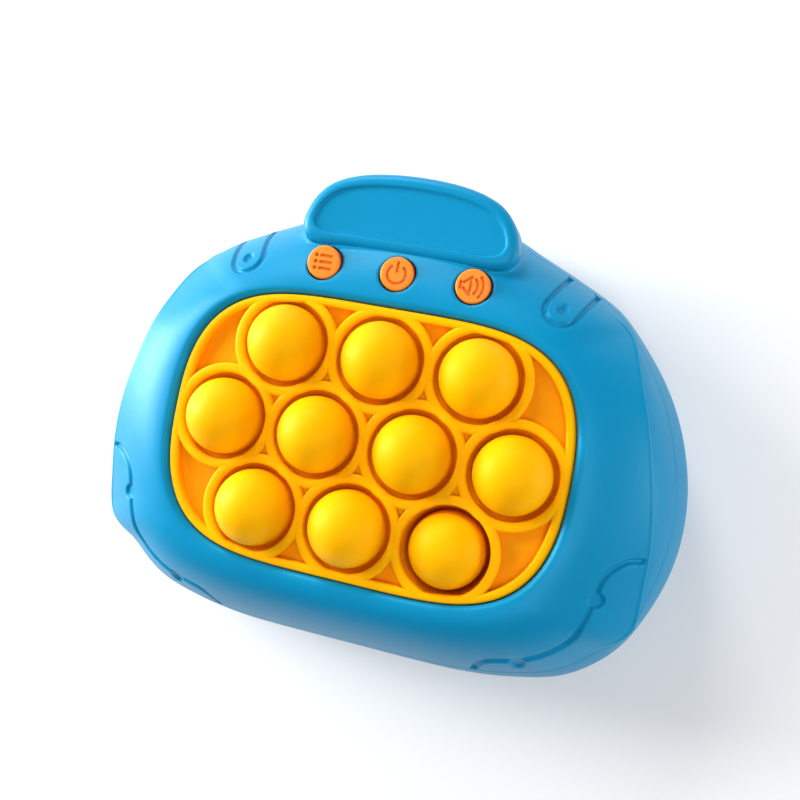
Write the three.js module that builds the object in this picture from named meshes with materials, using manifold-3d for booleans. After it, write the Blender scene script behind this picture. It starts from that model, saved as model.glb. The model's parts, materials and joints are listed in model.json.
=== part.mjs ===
import Module from 'manifold-3d';
import * as THREE from 'three';
import { mergeVertices } from 'three/addons/utils/BufferGeometryUtils.js';

// Electronic bubble pop game, lying on its back: X to the right, Y towards the crest, Z out of the face.
// Lengths are in millimetres and angles in degrees.

// Fits that every piece shares
const clearance = 0.3;
const looseFit = 0.5;
const overrun = 6;
const wall = 2.2;

// Bubble field: rows of three, four and three
const bubblePitch = 27;
const ringWeb = 3;
const rowWeb = 2.5;
const bubbleMoat = 1.6;
const bubbleWall = 1.4;
const bubbleSink = 0.8;
const bubbleTravel = 4.3;
const bubbleFlangeWidth = 1.5;
const bubbleFlangeThickness = 1.3;
const bubbleStemRadius = 2.2;
const bubbleGroove = 0.7;
const rowCounts = [3, 4, 3];
const rowNames = ['top', 'middle', 'bottom'];

// Silicone sheet
const sheetThickness = 2;
const sheetFlange = 2.6;
const ringWidth = 2.3;
const ringHeight = 3;
const rimWidth = 2.4;
const rimInset = 0.4;

// Window and front shell
const windowMarginX = 0.6;
const windowMarginY = 0.1;
const lipRadius = 2;
const lipRise = 0.6;
const faceDepth = 19.5;
// Width of the face beside, above and below the window
const frameSide = 22;
const frameTop = 32.3;
const frameBottom = 20.4;
// Drop of the side crease below the rings, at the middle of its arch and at its ends
const creaseDrop = 6.3;
const shoulderDrop = 16.5;

// Grooves in the face: one round each lower corner, and a lug with a dimple at each upper corner
const grooveWidth = 1.6;
const grooveDepth = 0.9;
const grooveBump = 1.4;
const lugX = 44.5;
const lugAboveWindow = 7.5;
const lugRadius = 4.6;
const lugLength = 18;
const lugAngle = 67;
const dimpleRadius = 1.6;

// Rear shell, and how far the widest section of the case stands out from the face at the sides and the bottom
const backDepth = 27;
const gripReach = 8.9;
const chinReach = 1.7;
const gripHeight = 17.5;
const backRound = 22;

// Crest above the window
const crestHalfWidth = 30.4;
const crestRise = 4.3;
const crestHeight = 22;
const crestDrop = 3.2;
const crestThickness = 13;
const crestEdge = 2.6;
const panelBorder = 3.2;
const panelFoot = 3;
const panelDepth = 0.8;

// Keys
const keySpacing = 20.8;
const keyAboveWindow = 9;
const keyRadius = 4.6;
const keyHoleGap = 0.5;
const keyProud = 0.6;
const keySlack = 2.3;
const keyEdge = 0.7;
const keyTravel = 1.2;
const keyFlangeWidth = 0.8;
const keyFlangeThickness = 1.4;
const keyStemRadius = 2.5;
const keyStemLength = 3.4;
const padThickness = 1.2;
const padNubHeight = 1.3;
const padNubRadius = 3;
const padHalfWidth = 4;
const padOverhang = 6;
const keyBoardOverhang = 12.4;

// Frame, boards and switches
const frameThickness = 2.4;
const frameMargin = 3.2;
const frameScrewAngle = 33;
const frameScrewOut = 6.3;
const frameEarDrop = 2.4;
const frameEarRadius = 3.6;
const legLength = 6.3;
const legRadius = 2.4;
const legInset = 1.7;
const boardThickness = 1.6;
const boardInset = 2.4;
const boardCorner = 10;
const switchSize = 6;
const switchBody = 2.4;
const switchButtonRadius = 1.7;
const switchButtonHeight = 0.9;
const lampSize = 2.4;
const lampHeight = 1.2;
const lampOffset = 5.6;

// Screws: head radius and height, shank radius and length
const caseScrew = { head: 2.7, headHeight: 2.4, shank: 1.3, length: 9 };
const smallScrew = { head: 2.1, headHeight: 1.4, shank: 0.9, length: 4 };
const doorScrew = { head: 2.4, headHeight: 0.8, shank: 1.2, length: 3.4 };
const headFaceShare = 0.8;
const bossWall = 1.9;
const wellWall = 1.7;
const bossJoin = 18;
const wellFloor = 2;
const sideScrewInset = 10.6;
const sideScrewDrop = 8;
const lowerScrewX = 47;
const lowerScrewInset = 11.8;
const upperScrewX = 46;
const upperScrewInset = 22;

// Battery bay, with three AAA cells side by side
const cellRadius = 5.25;
const cellLength = 43.7;
const cellNubRadius = 1.9;
const cellNubLength = 0.8;
const cellPitch = 11.2;
const cellCount = 3;
const springLength = 3;
const springRadius = 2.4;
const springTipRadius = 1.8;
const plateThickness = 0.5;
const plateHalfHeight = 4.2;
const bayWall = 1.4;
const bayBelowCentre = 13;
const doorThickness = 1.7;
const doorRecess = 0.3;
const doorLedge = 1.3;
const doorBorder = 3.4;
const hingeBorder = 6.3;
const screwBorder = 12;
const doorScrewInset = 3.4;
const tabThickness = 1;
const tabReach = 2.6;
const tabWidth = 7;
const tabSpacing = 20;

// Loudspeaker
const speakerRadius = 18;
const speakerAboveCentre = 29;
const speakerSeatHeight = 1.2;
const speakerFlange = 1.2;
const speakerFlangeWidth = 2.6;
const speakerDepth = 8;
const magnetRadius = 9;
const magnetHeight = 5;
const coneWall = 0.6;
const slotWidth = 1.8;
const slotPitch = 4.2;
const slotFieldRadius = 13;

// Rings and rows, from the pitch and the webs that neighbouring rings share
const ringInner = (bubblePitch - ringWeb) / 2;
const rowPitch = Math.sqrt((2 * ringInner + rowWeb) ** 2 - (bubblePitch / 2) ** 2);
const bubbleRadius = ringInner - bubbleMoat;

// Levels above the rest plane, from the back to the face
const ringTop = backDepth + faceDepth;
const sheetTop = ringTop - ringHeight;
const sheetUnder = sheetTop - sheetThickness;
const frameLevel = sheetUnder - clearance;
const frameUnder = frameLevel - frameThickness;
const boardLevel = frameUnder - legLength - clearance;
const switchTop = boardLevel + switchBody + switchButtonHeight;
const shellFoot = backDepth + clearance;
const lipTop = ringTop + lipRise;
const crestTop = ringTop - crestDrop;
const stemEnd = switchTop + clearance + bubbleTravel;

// Outline sizes, from the centre of the bubble field
const windowHalfX = 1.5 * bubblePitch + ringInner + ringWidth + windowMarginX;
const windowHalfY = rowPitch + ringInner + ringWidth + windowMarginY;
const faceHalfX = windowHalfX + frameSide;
const faceTopY = windowHalfY + frameTop;
const faceBottomY = windowHalfY + frameBottom;
const caseBottomY = faceBottomY + chinReach;
const crestTopY = faceTopY + crestRise;
const keyY = windowHalfY + keyAboveWindow;

// Right halves of the outlines, from the middle of the top to the middle of the bottom. The first number is
// a share of the half width, and the second a share of the height above or below the centre.
const faceShares = [
  [0, 1], [0.31, 0.96], [0.5, 0.875], [0.66, 0.79], [0.755, 0.7], [0.818, 0.584], [0.866, 0.433],
  [0.909, 0.295], [0.945, 0.154], [0.977, 0], [0.996, -0.193], [1, -0.396], [0.995, -0.609],
  [0.955, -0.75], [0.84, -0.86], [0.68, -0.94], [0.48, -0.985], [0, -1],
];
const gripShares = [
  [0, 1], [0.224, 0.972], [0.341, 0.928], [0.445, 0.859], [0.557, 0.799], [0.671, 0.724], [0.765, 0.61],
  [0.854, 0.483], [0.918, 0.335], [0.97, 0.173], [0.997, 0], [0.997, -0.209], [0.969, -0.415],
  [0.911, -0.605], [0.834, -0.778], [0.711, -0.899], [0.572, -0.957], [0.437, -0.988], [0.312, -0.998],
  [0, -1],
];
const crestShares = [
  [0, 1], [0.4, 0.962], [0.637, 0.883], [0.8, 0.77], [0.915, 0.6], [0.98, 0.4], [1, 0.22],
  [0.955, 0.07], [0.83, 0], [0.5, 0], [0, 0],
];
// The groove of the right lower corner, and the two bumps on its outer side
const grooveShares = [
  [1.014, -0.264], [0.944, -0.278], [0.899, -0.323], [0.87, -0.387], [0.858, -0.47], [0.842, -0.56],
  [0.809, -0.67], [0.745, -0.757], [0.656, -0.825], [0.53, -0.878], [0.497, -0.94], [0.48, -1.04],
];
const grooveBumpShares = [[0.866, -0.472], [0.645, -0.845]];
const windowPowers = { across: 4.3, along: 2.6 };
// How the case falls: at the sides from the lip to the crease and from there to the widest section, and
// elsewhere in one curve, fuller at the crown than at the chin
const creaseFall = { out: 1.5, down: 1 };
const sideFall = { out: 1.15, down: 1.15 };
const crownFall = { out: 1.5, down: 2 };
const chinFall = { out: 2, down: 1.15 };
// The crease, in degrees above the side: it fades in and out at the ends and is highest at the peak
const creaseSpan = { from: -31, fullFrom: -18, low: -19, peak: 16, high: 34, fullTo: 30, to: 40 };

// Mesh fineness
const loopSteps = 36;
const outlineSteps = 240;
const crestSteps = 24;
const grooveSteps = 14;
const ringSteps = 14;
const bubbleSteps = 12;
const keySteps = 12;
const roundSteps = 8;
const screwSteps = 6;
const cornerSteps = 4;
// The middle of a round edge lies this share of its radius in from both faces
const midRoundShare = 1 - Math.SQRT1_2;

// Materials
const plastic = (color, roughness) => new THREE.MeshStandardMaterial({ color, roughness, metalness: 0 });
const metal = (color, roughness) => new THREE.MeshStandardMaterial({ color, roughness, metalness: 1 });
const blue = () => plastic(0x1e9be6, 0.35);
const yellow = () => plastic(0xffb800, 0.4);
const orange = () => plastic(0xff7a2c, 0.45);
const white = () => plastic(0xe8e8e2, 0.5);
const green = () => plastic(0x1e6b3c, 0.5);
const black = () => plastic(0x222222, 0.5);
const steel = () => metal(0xb8bcc0, 0.35);

const wasm = await Module();
wasm.setup();

// A closed solid from a geometry: shared corners are merged, flat slivers dropped, and faces turned outwards
function solid(geometry) {
  const bare = geometry.clone();
  bare.deleteAttribute('normal');
  bare.deleteAttribute('uv');
  const merged = mergeVertices(bare);
  const place = merged.attributes.position;
  const corners = [];
  let volume = 0;
  const [a, b, c] = [new THREE.Vector3(), new THREE.Vector3(), new THREE.Vector3()];
  for (let i = 0; i < merged.index.count; i += 3) {
    const face = [merged.index.getX(i), merged.index.getX(i + 1), merged.index.getX(i + 2)];
    if (face[0] === face[1] || face[1] === face[2] || face[2] === face[0]) continue;
    corners.push(...face);
    a.fromBufferAttribute(place, face[0]);
    b.fromBufferAttribute(place, face[1]);
    c.fromBufferAttribute(place, face[2]);
    volume += a.dot(b.cross(c));
  }
  if (volume < 0) corners.reverse();
  return new wasm.Manifold(new wasm.Mesh({
    numProp: 3,
    vertProperties: new Float32Array(place.array),
    triVerts: new Uint32Array(corners),
  }));
}

function geometryOf(manifold) {
  const mesh = manifold.getMesh();
  const geometry = new THREE.BufferGeometry();
  geometry.setAttribute('position', new THREE.BufferAttribute(mesh.vertProperties, 3));
  geometry.setIndex(new THREE.BufferAttribute(mesh.triVerts, 1));
  geometry.computeVertexNormals();
  return geometry;
}

// A solid turned about the Z axis, from [radius, height] points
function turned(profile, steps) {
  const points = profile.map(([radius, height]) => new THREE.Vector2(radius, height));
  return solid(new THREE.LatheGeometry(points, steps).rotateX(Math.PI / 2));
}

function rod(radius, low, high, steps = roundSteps) {
  return turned([[0, low], [radius, low], [radius, high], [0, high]], steps);
}

const at = (manifold, x, y) => manifold.translate([x, y, 0]);

function box(x0, x1, y0, y1, z0, z1) {
  return solid(new THREE.BoxGeometry(x1 - x0, y1 - y0, z1 - z0))
    .translate([(x0 + x1) / 2, (y0 + y1) / 2, (z0 + z1) / 2]);
}

// A prism with a vertical wall along a closed outline of [x, y] points
function prism(outline, low, high) {
  const shape = new THREE.Shape(outline.map(([x, y]) => new THREE.Vector2(x, y)));
  const options = { depth: high - low, bevelEnabled: false };
  return solid(new THREE.ExtrudeGeometry(shape, options).translate(0, 0, low));
}

// A prism along a line of [x, y] points, with the same width all the way
function band(line, width, low, high) {
  const points = line.map(([x, y]) => new THREE.Vector3(x, y, 0));
  const curve = new THREE.CatmullRomCurve3(points, false, 'centripetal');
  const sides = [1, -1].map((side) => Array.from({ length: grooveSteps + 1 }, (_, step) => {
    const place = curve.getPointAt(step / grooveSteps);
    const along = curve.getTangentAt(step / grooveSteps);
    return [place.x - side * along.y * (width / 2), place.y + side * along.x * (width / 2)];
  }));
  return prism([...sides[0], ...sides[1].reverse()], low, high);
}

// A tongue with one round end at the origin, pointing along X
function tongue(radius, length, low, high) {
  const shape = new THREE.Shape();
  shape.moveTo(length, radius);
  shape.absarc(0, 0, radius, Math.PI / 2, 1.5 * Math.PI);
  shape.lineTo(length, -radius);
  const options = { depth: high - low, bevelEnabled: false, curveSegments: cornerSteps };
  return solid(new THREE.ExtrudeGeometry(shape, options).translate(0, 0, low));
}

// A plate with round corners, centred over the bubble field
function roundedPlate(halfX, halfY, radius, low, high) {
  const shape = new THREE.Shape();
  const [x, y] = [halfX - radius, halfY - radius];
  shape.absarc(x, y, radius, 0, Math.PI / 2);
  shape.absarc(-x, y, radius, Math.PI / 2, Math.PI);
  shape.absarc(-x, -y, radius, Math.PI, 1.5 * Math.PI);
  shape.absarc(x, -y, radius, 1.5 * Math.PI, 2 * Math.PI);
  const options = { depth: high - low, bevelEnabled: false, curveSegments: cornerSteps };
  return solid(new THREE.ExtrudeGeometry(shape, options).translate(0, 0, low));
}

// A closed skin through rings with equal numbers of points. It is capped at both ends, or its last ring joins
// its first.
function skin(rings, joined = false) {
  const count = rings[0].length;
  const points = rings.flat();
  const index = [];
  const bands = joined ? rings.length : rings.length - 1;
  for (let band = 0; band < bands; band++) {
    const low = band * count;
    const high = ((band + 1) % rings.length) * count;
    for (let i = 0; i < count; i++) {
      const next = (i + 1) % count;
      index.push(low + i, low + next, high + next, low + i, high + next, high + i);
    }
  }
  if (!joined) {
    for (const [start, turn] of [[0, -1], [(rings.length - 1) * count, 1]]) {
      const middle = points.length;
      points.push([0, 0, points[start][2]]);
      for (let i = 0; i < count; i++) {
        const pair = [start + i, start + ((i + 1) % count)];
        if (turn < 0) pair.reverse();
        index.push(middle, ...pair);
      }
    }
  }
  const geometry = new THREE.BufferGeometry();
  geometry.setAttribute('position', new THREE.Float32BufferAttribute(points.flat(), 3));
  geometry.setIndex(index);
  return solid(geometry);
}

// Outlines. A closed spline through shares of the sizes, mirrored left to right.
function sharedOutline(shares, halfX, up, down, steps = outlineSteps) {
  const right = shares.map(([x, y]) => [x * halfX, y > 0 ? y * up : y * down]);
  const left = right.slice(1, -1).reverse().map(([x, y]) => [-x, y]);
  const points = [...right, ...left].map(([x, y]) => new THREE.Vector3(x, y, 0));
  const curve = new THREE.CatmullRomCurve3(points, true, 'centripetal');
  return curve.getSpacedPoints(steps).slice(0, steps).map((p) => [p.x, p.y]);
}

// Distance from the centre to an outline of [x, y] points in each of the directions of a loft
const directions = Array.from({ length: loopSteps }, (_, i) => (2 * Math.PI * i) / loopSteps);
function reachOf(outline) {
  return directions.map((angle) => {
    const [c, s] = [Math.cos(angle), Math.sin(angle)];
    for (let i = 0; i < outline.length; i++) {
      const [x0, y0] = outline[i];
      const [x1, y1] = outline[(i + 1) % outline.length];
      const [side0, side1] = [c * y0 - s * x0, c * y1 - s * x1];
      const forward = c * (x0 + x1) + s * (y0 + y1) > 0;
      if (forward && side0 <= 0 && side1 > 0) {
        const share = side0 / (side0 - side1);
        return Math.hypot(x0 + share * (x1 - x0), y0 + share * (y1 - y0));
      }
    }
    throw new Error('The outline does not go round its centre.');
  });
}

// Distance from the centre to the barrel-shaped window at an angle: the powers set how square its sides and
// its ends are
function windowAt(angle) {
  const { across, along } = windowPowers;
  const [c, s] = [Math.abs(Math.cos(angle)), Math.abs(Math.sin(angle))];
  let [near, far] = [0, windowHalfX + windowHalfY];
  for (let i = 0; i < 50; i++) {
    const middle = (near + far) / 2;
    const inside = (middle * c / windowHalfX) ** across + (middle * s / windowHalfY) ** along < 1;
    if (inside) near = middle;
    else far = middle;
  }
  return near;
}

const ring = (reach, height) => directions.map((angle, i) => [
  reach[i] * Math.cos(angle), reach[i] * Math.sin(angle), Array.isArray(height) ? height[i] : height,
]);
const wider = (reach, amount) => reach.map((r) => r + amount);
const blend = (a, b, share) => a.map((value, i) => value + (b[i] - value) * share);
const flat = (outline) => ring(outline, 0).map(([x, y]) => [x, y]);

const windowReach = directions.map(windowAt);
const lipReach = wider(windowReach, lipRadius);
const faceReach = reachOf(sharedOutline(faceShares, faceHalfX, faceTopY, faceBottomY).reverse());
const widestReach = reachOf(
  sharedOutline(gripShares, faceHalfX + gripReach, faceTopY, caseBottomY).reverse(),
);

// How much of the side crease each direction has, and how high it lies there
const { clamp, lerp, smoothstep } = THREE.MathUtils;
const turns = directions.map((angle) => (
  THREE.MathUtils.radToDeg(Math.atan2(Math.sin(angle), Math.abs(Math.cos(angle))))
));
const sideShare = turns.map((turn) => (
  smoothstep(turn, creaseSpan.from, creaseSpan.fullFrom)
    * (1 - smoothstep(turn, creaseSpan.fullTo, creaseSpan.to))
));
const edgeLevel = turns.map((turn) => {
  const end = turn > creaseSpan.peak ? creaseSpan.high : creaseSpan.low;
  const share = clamp((turn - creaseSpan.peak) / (end - creaseSpan.peak), 0, 1);
  return ringTop - lerp(creaseDrop, shoulderDrop, share ** 2);
});
const roundFall = turns.map((turn) => (turn > 0 ? crownFall : chinFall));

// How far down a fall is for a share of its way out, and how far out for a share of its way down
const fall = (share, { out, down }) => 1 - (1 - share ** out) ** (1 / down);
const spread = (share, { out, down }) => (1 - Math.max(1 - share, 0) ** down) ** (1 / out);

// Reach of the case at a level, drawn in by an inset: where it is round, below the creases, and both mixed
function roundReach(level, inset) {
  const top = lipTop - inset;
  const down = (top - level) / (top - gripHeight);
  return lipReach.map((lip, i) => lip + (widestReach[i] - inset - lip) * spread(down, roundFall[i]));
}
function sideReach(level, inset) {
  return faceReach.map((face, i) => {
    const top = edgeLevel[i] - inset;
    return face - inset + (widestReach[i] - face) * spread((top - level) / (top - gripHeight), sideFall);
  });
}
const sided = (round, side) => round.map((value, i) => lerp(value, side[i], sideShare[i]));
const caseReach = (level, inset) => sided(roundReach(level, inset), sideReach(level, inset));

// The front shell from its lip out to its foot, lowered and drawn in for the inside of the wall
const outerSteps = 5;
const innerSteps = 3;
function shoulder(inset, steps) {
  const top = lipTop - inset;
  const rings = [];
  for (let step = 0; step <= steps; step++) {
    const share = Math.sin((step / steps) * (Math.PI / 2));
    const level = lerp(shellFoot, top, Math.cos((step / (steps + 1)) * (Math.PI / 2)));
    const reach = sided(roundReach(level, inset), blend(lipReach, wider(faceReach, -inset), share));
    const height = edgeLevel.map((edge, i) => (
      lerp(level, top - (lipTop - edge) * fall(share, creaseFall), sideShare[i])
    ));
    rings.push(ring(reach, height));
  }
  rings.push(ring(caseReach(shellFoot, inset), shellFoot));
  return rings;
}

// Places of the screws that close the case
const upperScrewY = windowHalfY + frameTop - upperScrewInset;
const caseScrewPlaces = [
  ['upper_left', -upperScrewX, upperScrewY], ['upper_right', upperScrewX, upperScrewY],
  ['side_left', sideScrewInset - faceHalfX, -sideScrewDrop],
  ['side_right', faceHalfX - sideScrewInset, -sideScrewDrop],
  ['lower_left', -lowerScrewX, lowerScrewInset - faceBottomY],
  ['lower_right', lowerScrewX, lowerScrewInset - faceBottomY],
];
const bossRadius = caseScrew.shank + bossWall;
const wellRadius = caseScrew.head + looseFit;

// Places of the frame's screws, outside the window's corners, and of its legs, inside them
const frameTurn = THREE.MathUtils.degToRad(frameScrewAngle);
const frameScrewReach = windowAt(frameTurn) + frameScrewOut;
const frameScrewX = frameScrewReach * Math.cos(frameTurn);
const frameScrewY = frameScrewReach * Math.sin(frameTurn);
const legReach = windowAt(frameTurn) - legInset;
const legX = legReach * Math.cos(frameTurn);
const legY = legReach * Math.sin(frameTurn);
const corners = [
  ['upper_left', -1, 1], ['upper_right', 1, 1], ['lower_left', -1, -1], ['lower_right', 1, -1],
];
const smallBossRadius = smallScrew.shank + bossWall;
const keyBoardHalfX = keySpacing + keyBoardOverhang;
const keyBoardScrewX = keyBoardHalfX - smallScrew.head - looseFit;

// Levels of the keys, from the face inwards
const faceLevel = (y) => {
  const share = (y - windowHalfY - lipRadius) / (frameTop - lipRadius);
  return lerp(lipTop, gripHeight, fall(share, crownFall));
};
const keyTop = faceLevel(keyY) + keyProud;
const keyFlangeTop = faceLevel(keyY + keyRadius + keyFlangeWidth) - wall - keySlack;
const keyStemEnd = keyFlangeTop - keyStemLength;
const padTop = keyStemEnd - keyTravel - clearance - padNubHeight;
const keyBoardLevel = padTop - padThickness - clearance;

const group = new THREE.Group();
// The centre of the outline lies over the origin
group.position.y = -(crestTopY - caseBottomY) / 2;

function piece(name, manifold, material, x = 0, y = 0, z = 0) {
  const mesh = new THREE.Mesh(geometryOf(manifold), material);
  mesh.name = name;
  mesh.position.set(x, y, z);
  group.add(mesh);
  return mesh;
}

// Crest: a plate with rounded edges that grows out of the top shoulder
function crestPlate(border, foot, low, high, edge) {
  const bottom = crestTopY - crestHeight;
  const outline = sharedOutline(
    crestShares, crestHalfWidth - border, crestHeight - border - foot, 0, crestSteps,
  ).map(([x, y]) => new THREE.Vector2(x, y + bottom + foot));
  const shape = new THREE.Shape(outline);
  const rounding = edge > 0
    ? { bevelEnabled: true, bevelThickness: edge, bevelSize: edge, bevelOffset: -edge, bevelSegments: 2 }
    : { bevelEnabled: false };
  const geometry = new THREE.ExtrudeGeometry(shape, { depth: high - low - 2 * edge, ...rounding });
  return solid(geometry.translate(0, 0, low + edge));
}

// Screw standing with its head downwards at the origin
function screw({ head, headHeight, shank, length }) {
  return turned([
    [0, -headHeight], [head * headFaceShare, -headHeight], [head, 0], [shank, 0],
    [shank, length - shank], [0, length],
  ], screwSteps);
}

// The grooves of the face, as deep everywhere below its surface
function faceGrooves() {
  const [low, high] = [backDepth, lipTop + overrun];
  const around = wider(caseReach(shellFoot, 0), overrun);
  const floor = skin([
    ring(around, backDepth - overrun), ring(around, shellFoot), ...shoulder(0, outerSteps).reverse(),
  ]).translate([0, 0, -grooveDepth]);
  const grooves = [];
  for (const side of [-1, 1]) {
    const place = ([x, y]) => [side * x * faceHalfX, y * faceBottomY];
    let corner = band(grooveShares.map(place), grooveWidth, low, high);
    for (const bump of grooveBumpShares) corner = corner.add(at(rod(grooveBump, low, high), ...place(bump)));
    const outer = tongue(lugRadius + grooveWidth / 2, lugLength, low, high);
    const inner = tongue(lugRadius - grooveWidth / 2, lugLength + overrun, low - overrun, high + overrun);
    const lug = outer.subtract(inner).add(rod(dimpleRadius, low, high));
    const turn = side > 0 ? lugAngle : 180 - lugAngle;
    grooves.push(corner, at(lug.rotate([0, 0, turn]), side * lugX, windowHalfY + lugAboveWindow));
  }
  return grooves.map((groove) => groove.subtract(floor));
}

function frontShell() {
  const windowSide = [
    ring(lipReach, sheetTop + clearance),
    ring(windowReach, sheetTop + clearance),
    ring(windowReach, lipTop - lipRadius),
    ring(wider(windowReach, lipRadius * midRoundShare), lipTop - lipRadius * midRoundShare),
  ];
  const inside = shoulder(wall, innerSteps).reverse();
  const shell = skin([...windowSide, ...shoulder(0, outerSteps), ...inside], true);

  // The middle of the wall, filled and carried down past the join, bounds what grows out of the wall
  const middle = wall / 2;
  const rim = ring(caseReach(shellFoot, middle), bossJoin - overrun);
  const filled = skin([rim, ...shoulder(middle, outerSteps).reverse()]);

  const crest = crestPlate(0, 0, crestTop - crestThickness, crestTop, crestEdge).subtract(filled);
  const panelFloor = crestTop - panelDepth;
  const panel = crestPlate(panelBorder, panelFoot - panelBorder, panelFloor, crestTop + overrun, 0);
  let body = shell.add(crest).subtract(panel);

  for (const [, x, y] of caseScrewPlaces) {
    const boss = at(rod(bossRadius, bossJoin + clearance, lipTop), x, y).intersect(filled);
    const pilot = rod(caseScrew.shank + clearance, bossJoin, bossJoin + caseScrew.length, screwSteps);
    body = body.add(boss).subtract(at(pilot, x, y));
  }
  for (const [, sideX, sideY] of corners) {
    const [x, y] = [sideX * frameScrewX, sideY * frameScrewY];
    const boss = rod(smallBossRadius, frameLevel - frameEarDrop + clearance, lipTop);
    const pilot = rod(smallScrew.shank + clearance, frameUnder, frameUnder + smallScrew.length, screwSteps);
    body = body.add(at(boss, x, y).intersect(filled)).subtract(at(pilot, x, y));
  }
  for (const side of [-1, 1]) {
    const x = side * keyBoardScrewX;
    const boss = rod(smallBossRadius, keyBoardLevel + clearance, lipTop);
    const pilotTop = keyBoardLevel + smallScrew.length;
    const pilot = rod(smallScrew.shank + clearance, keyBoardLevel, pilotTop, screwSteps);
    body = body.add(at(boss, x, keyY).intersect(filled)).subtract(at(pilot, x, keyY));
  }
  for (const column of [-1, 0, 1]) {
    const hole = rod(keyRadius + keyHoleGap, keyStemEnd, lipTop + overrun, keySteps);
    body = body.subtract(at(hole, column * keySpacing, keyY));
  }
  for (const groove of faceGrooves()) body = body.subtract(groove);
  return body;
}

// Battery bay sizes
const bayHalfX = (cellLength + cellNubLength + springLength + 2 * clearance + 2 * plateThickness) / 2;
const bayHalfY = (cellCount * cellPitch) / 2;
const bayY = -bayBelowCentre;
const doorFace = doorRecess;
const doorInner = doorFace + doorThickness;
const ledgeUnder = doorInner + clearance;
const ledgeTop = ledgeUnder + doorLedge;
const cellLevel = ledgeUnder + cellRadius;
const bayCeiling = cellLevel + cellRadius + looseFit;
const doorLeft = -bayHalfX - hingeBorder;
const doorRight = bayHalfX + screwBorder;
const doorHalfY = bayHalfY + doorBorder;
const doorScrewX = doorRight - doorScrewInset;
const doorPilotTop = ledgeUnder + doorScrew.length + looseFit;
const tabPlaces = [bayY - tabSpacing / 2, bayY + tabSpacing / 2];
const speakerSeat = wall + speakerSeatHeight + clearance;

// The rounded form of the back, drawn in from its outer face by an inset: a quarter of an ellipse up from the
// flat to the widest section, and the case's own form above. An inner form runs past the rim.
const quarterSteps = 3;
const rimSteps = 2;
function backForm(inset) {
  const [flatReach, widest] = [wider(widestReach, -backRound), wider(widestReach, -inset)];
  const rings = [];
  for (let step = 0; step <= quarterSteps; step++) {
    const turn = (step / quarterSteps) * (Math.PI / 2);
    rings.push(ring(blend(flatReach, widest, Math.sin(turn)), lerp(gripHeight, inset, Math.cos(turn))));
  }
  for (let step = 1; step <= rimSteps; step++) {
    const level = lerp(gripHeight, backDepth, step / rimSteps);
    rings.push(ring(caseReach(level, inset), level));
  }
  if (inset > 0) rings.push(ring(caseReach(backDepth, inset), backDepth + overrun));
  return skin(rings);
}

function rearShell() {
  const filled = backForm(wall / 2);
  let body = backForm(0).subtract(backForm(wall));

  // Battery bay: its box and the ledge under the door stand on the back plate
  const bayBox = box(
    -bayHalfX - bayWall, bayHalfX + bayWall, bayY - bayHalfY - bayWall, bayY + bayHalfY + bayWall,
    wall, bayCeiling + bayWall,
  );
  const ledge = box(
    doorLeft - wall, doorRight + wall, bayY - doorHalfY - wall, bayY + doorHalfY + wall, wall / 2, ledgeTop,
  );
  const pilotRadius = doorScrew.shank + looseFit;
  const boss = at(rod(pilotRadius + bossWall, wall, doorPilotTop + bossWall), doorScrewX, bayY);
  const bay = box(-bayHalfX, bayHalfX, bayY - bayHalfY, bayY + bayHalfY, -overrun, bayCeiling);
  const doorway = box(doorLeft, doorRight, bayY - doorHalfY, bayY + doorHalfY, -overrun, ledgeUnder);
  const pilot = at(rod(pilotRadius, -overrun, doorPilotTop), doorScrewX, bayY);
  body = body.add(bayBox).add(ledge).add(boss).subtract(bay).subtract(doorway).subtract(pilot);
  for (const y of tabPlaces) {
    const halfSlot = tabWidth / 2 + looseFit;
    const bed = doorInner - tabThickness - clearance;
    body = body.subtract(box(
      doorLeft - tabReach - looseFit, doorLeft + tabReach, y - halfSlot, y + halfSlot,
      bed, ledgeTop + overrun,
    ));
  }

  // Loudspeaker seat, with a collar round it, and slots
  const [seatInner, collarInner] = [speakerRadius - speakerFlangeWidth, speakerRadius + clearance];
  const collarTop = speakerSeat + speakerFlange;
  const seat = turned([
    [seatInner, wall / 2], [collarInner + bayWall, wall / 2], [collarInner + bayWall, collarTop],
    [collarInner, collarTop], [collarInner, wall + speakerSeatHeight], [seatInner, wall + speakerSeatHeight],
    [seatInner, wall / 2],
  ], keySteps);
  body = body.add(at(seat, 0, speakerAboveCentre));
  const slotCount = Math.floor(slotFieldRadius / slotPitch);
  for (let slot = -slotCount; slot <= slotCount; slot++) {
    const x = slot * slotPitch;
    const half = Math.sqrt(slotFieldRadius ** 2 - x ** 2);
    body = body.subtract(box(
      x - slotWidth / 2, x + slotWidth / 2, speakerAboveCentre - half, speakerAboveCentre + half,
      -overrun, wall + clearance,
    ));
  }

  // Wells for the case screws
  for (const [, x, y] of caseScrewPlaces) {
    const well = at(rod(wellRadius + wellWall, 0, bossJoin), x, y).intersect(filled);
    const bore = at(rod(wellRadius, -overrun, bossJoin - wellFloor), x, y);
    const hole = at(rod(caseScrew.shank + clearance, 0, bossJoin + overrun, screwSteps), x, y);
    body = body.add(well).subtract(bore).subtract(hole);
  }
  return body;
}

function batteryDoor() {
  const [left, right] = [doorLeft + clearance, doorRight - clearance];
  const halfY = doorHalfY - clearance;
  let door = box(left, right, bayY - halfY, bayY + halfY, doorFace, doorInner);
  for (const y of tabPlaces) {
    door = door.add(box(
      left - tabReach, left + tabReach, y - tabWidth / 2, y + tabWidth / 2,
      doorInner - tabThickness, doorInner,
    ));
  }
  const counterbore = rod(doorScrew.head + clearance, -overrun, doorFace + doorScrew.headHeight + clearance);
  const hole = rod(doorScrew.shank + clearance, -overrun, doorInner + overrun);
  return door.subtract(at(counterbore, doorScrewX, bayY)).subtract(at(hole, doorScrewX, bayY));
}

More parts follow.
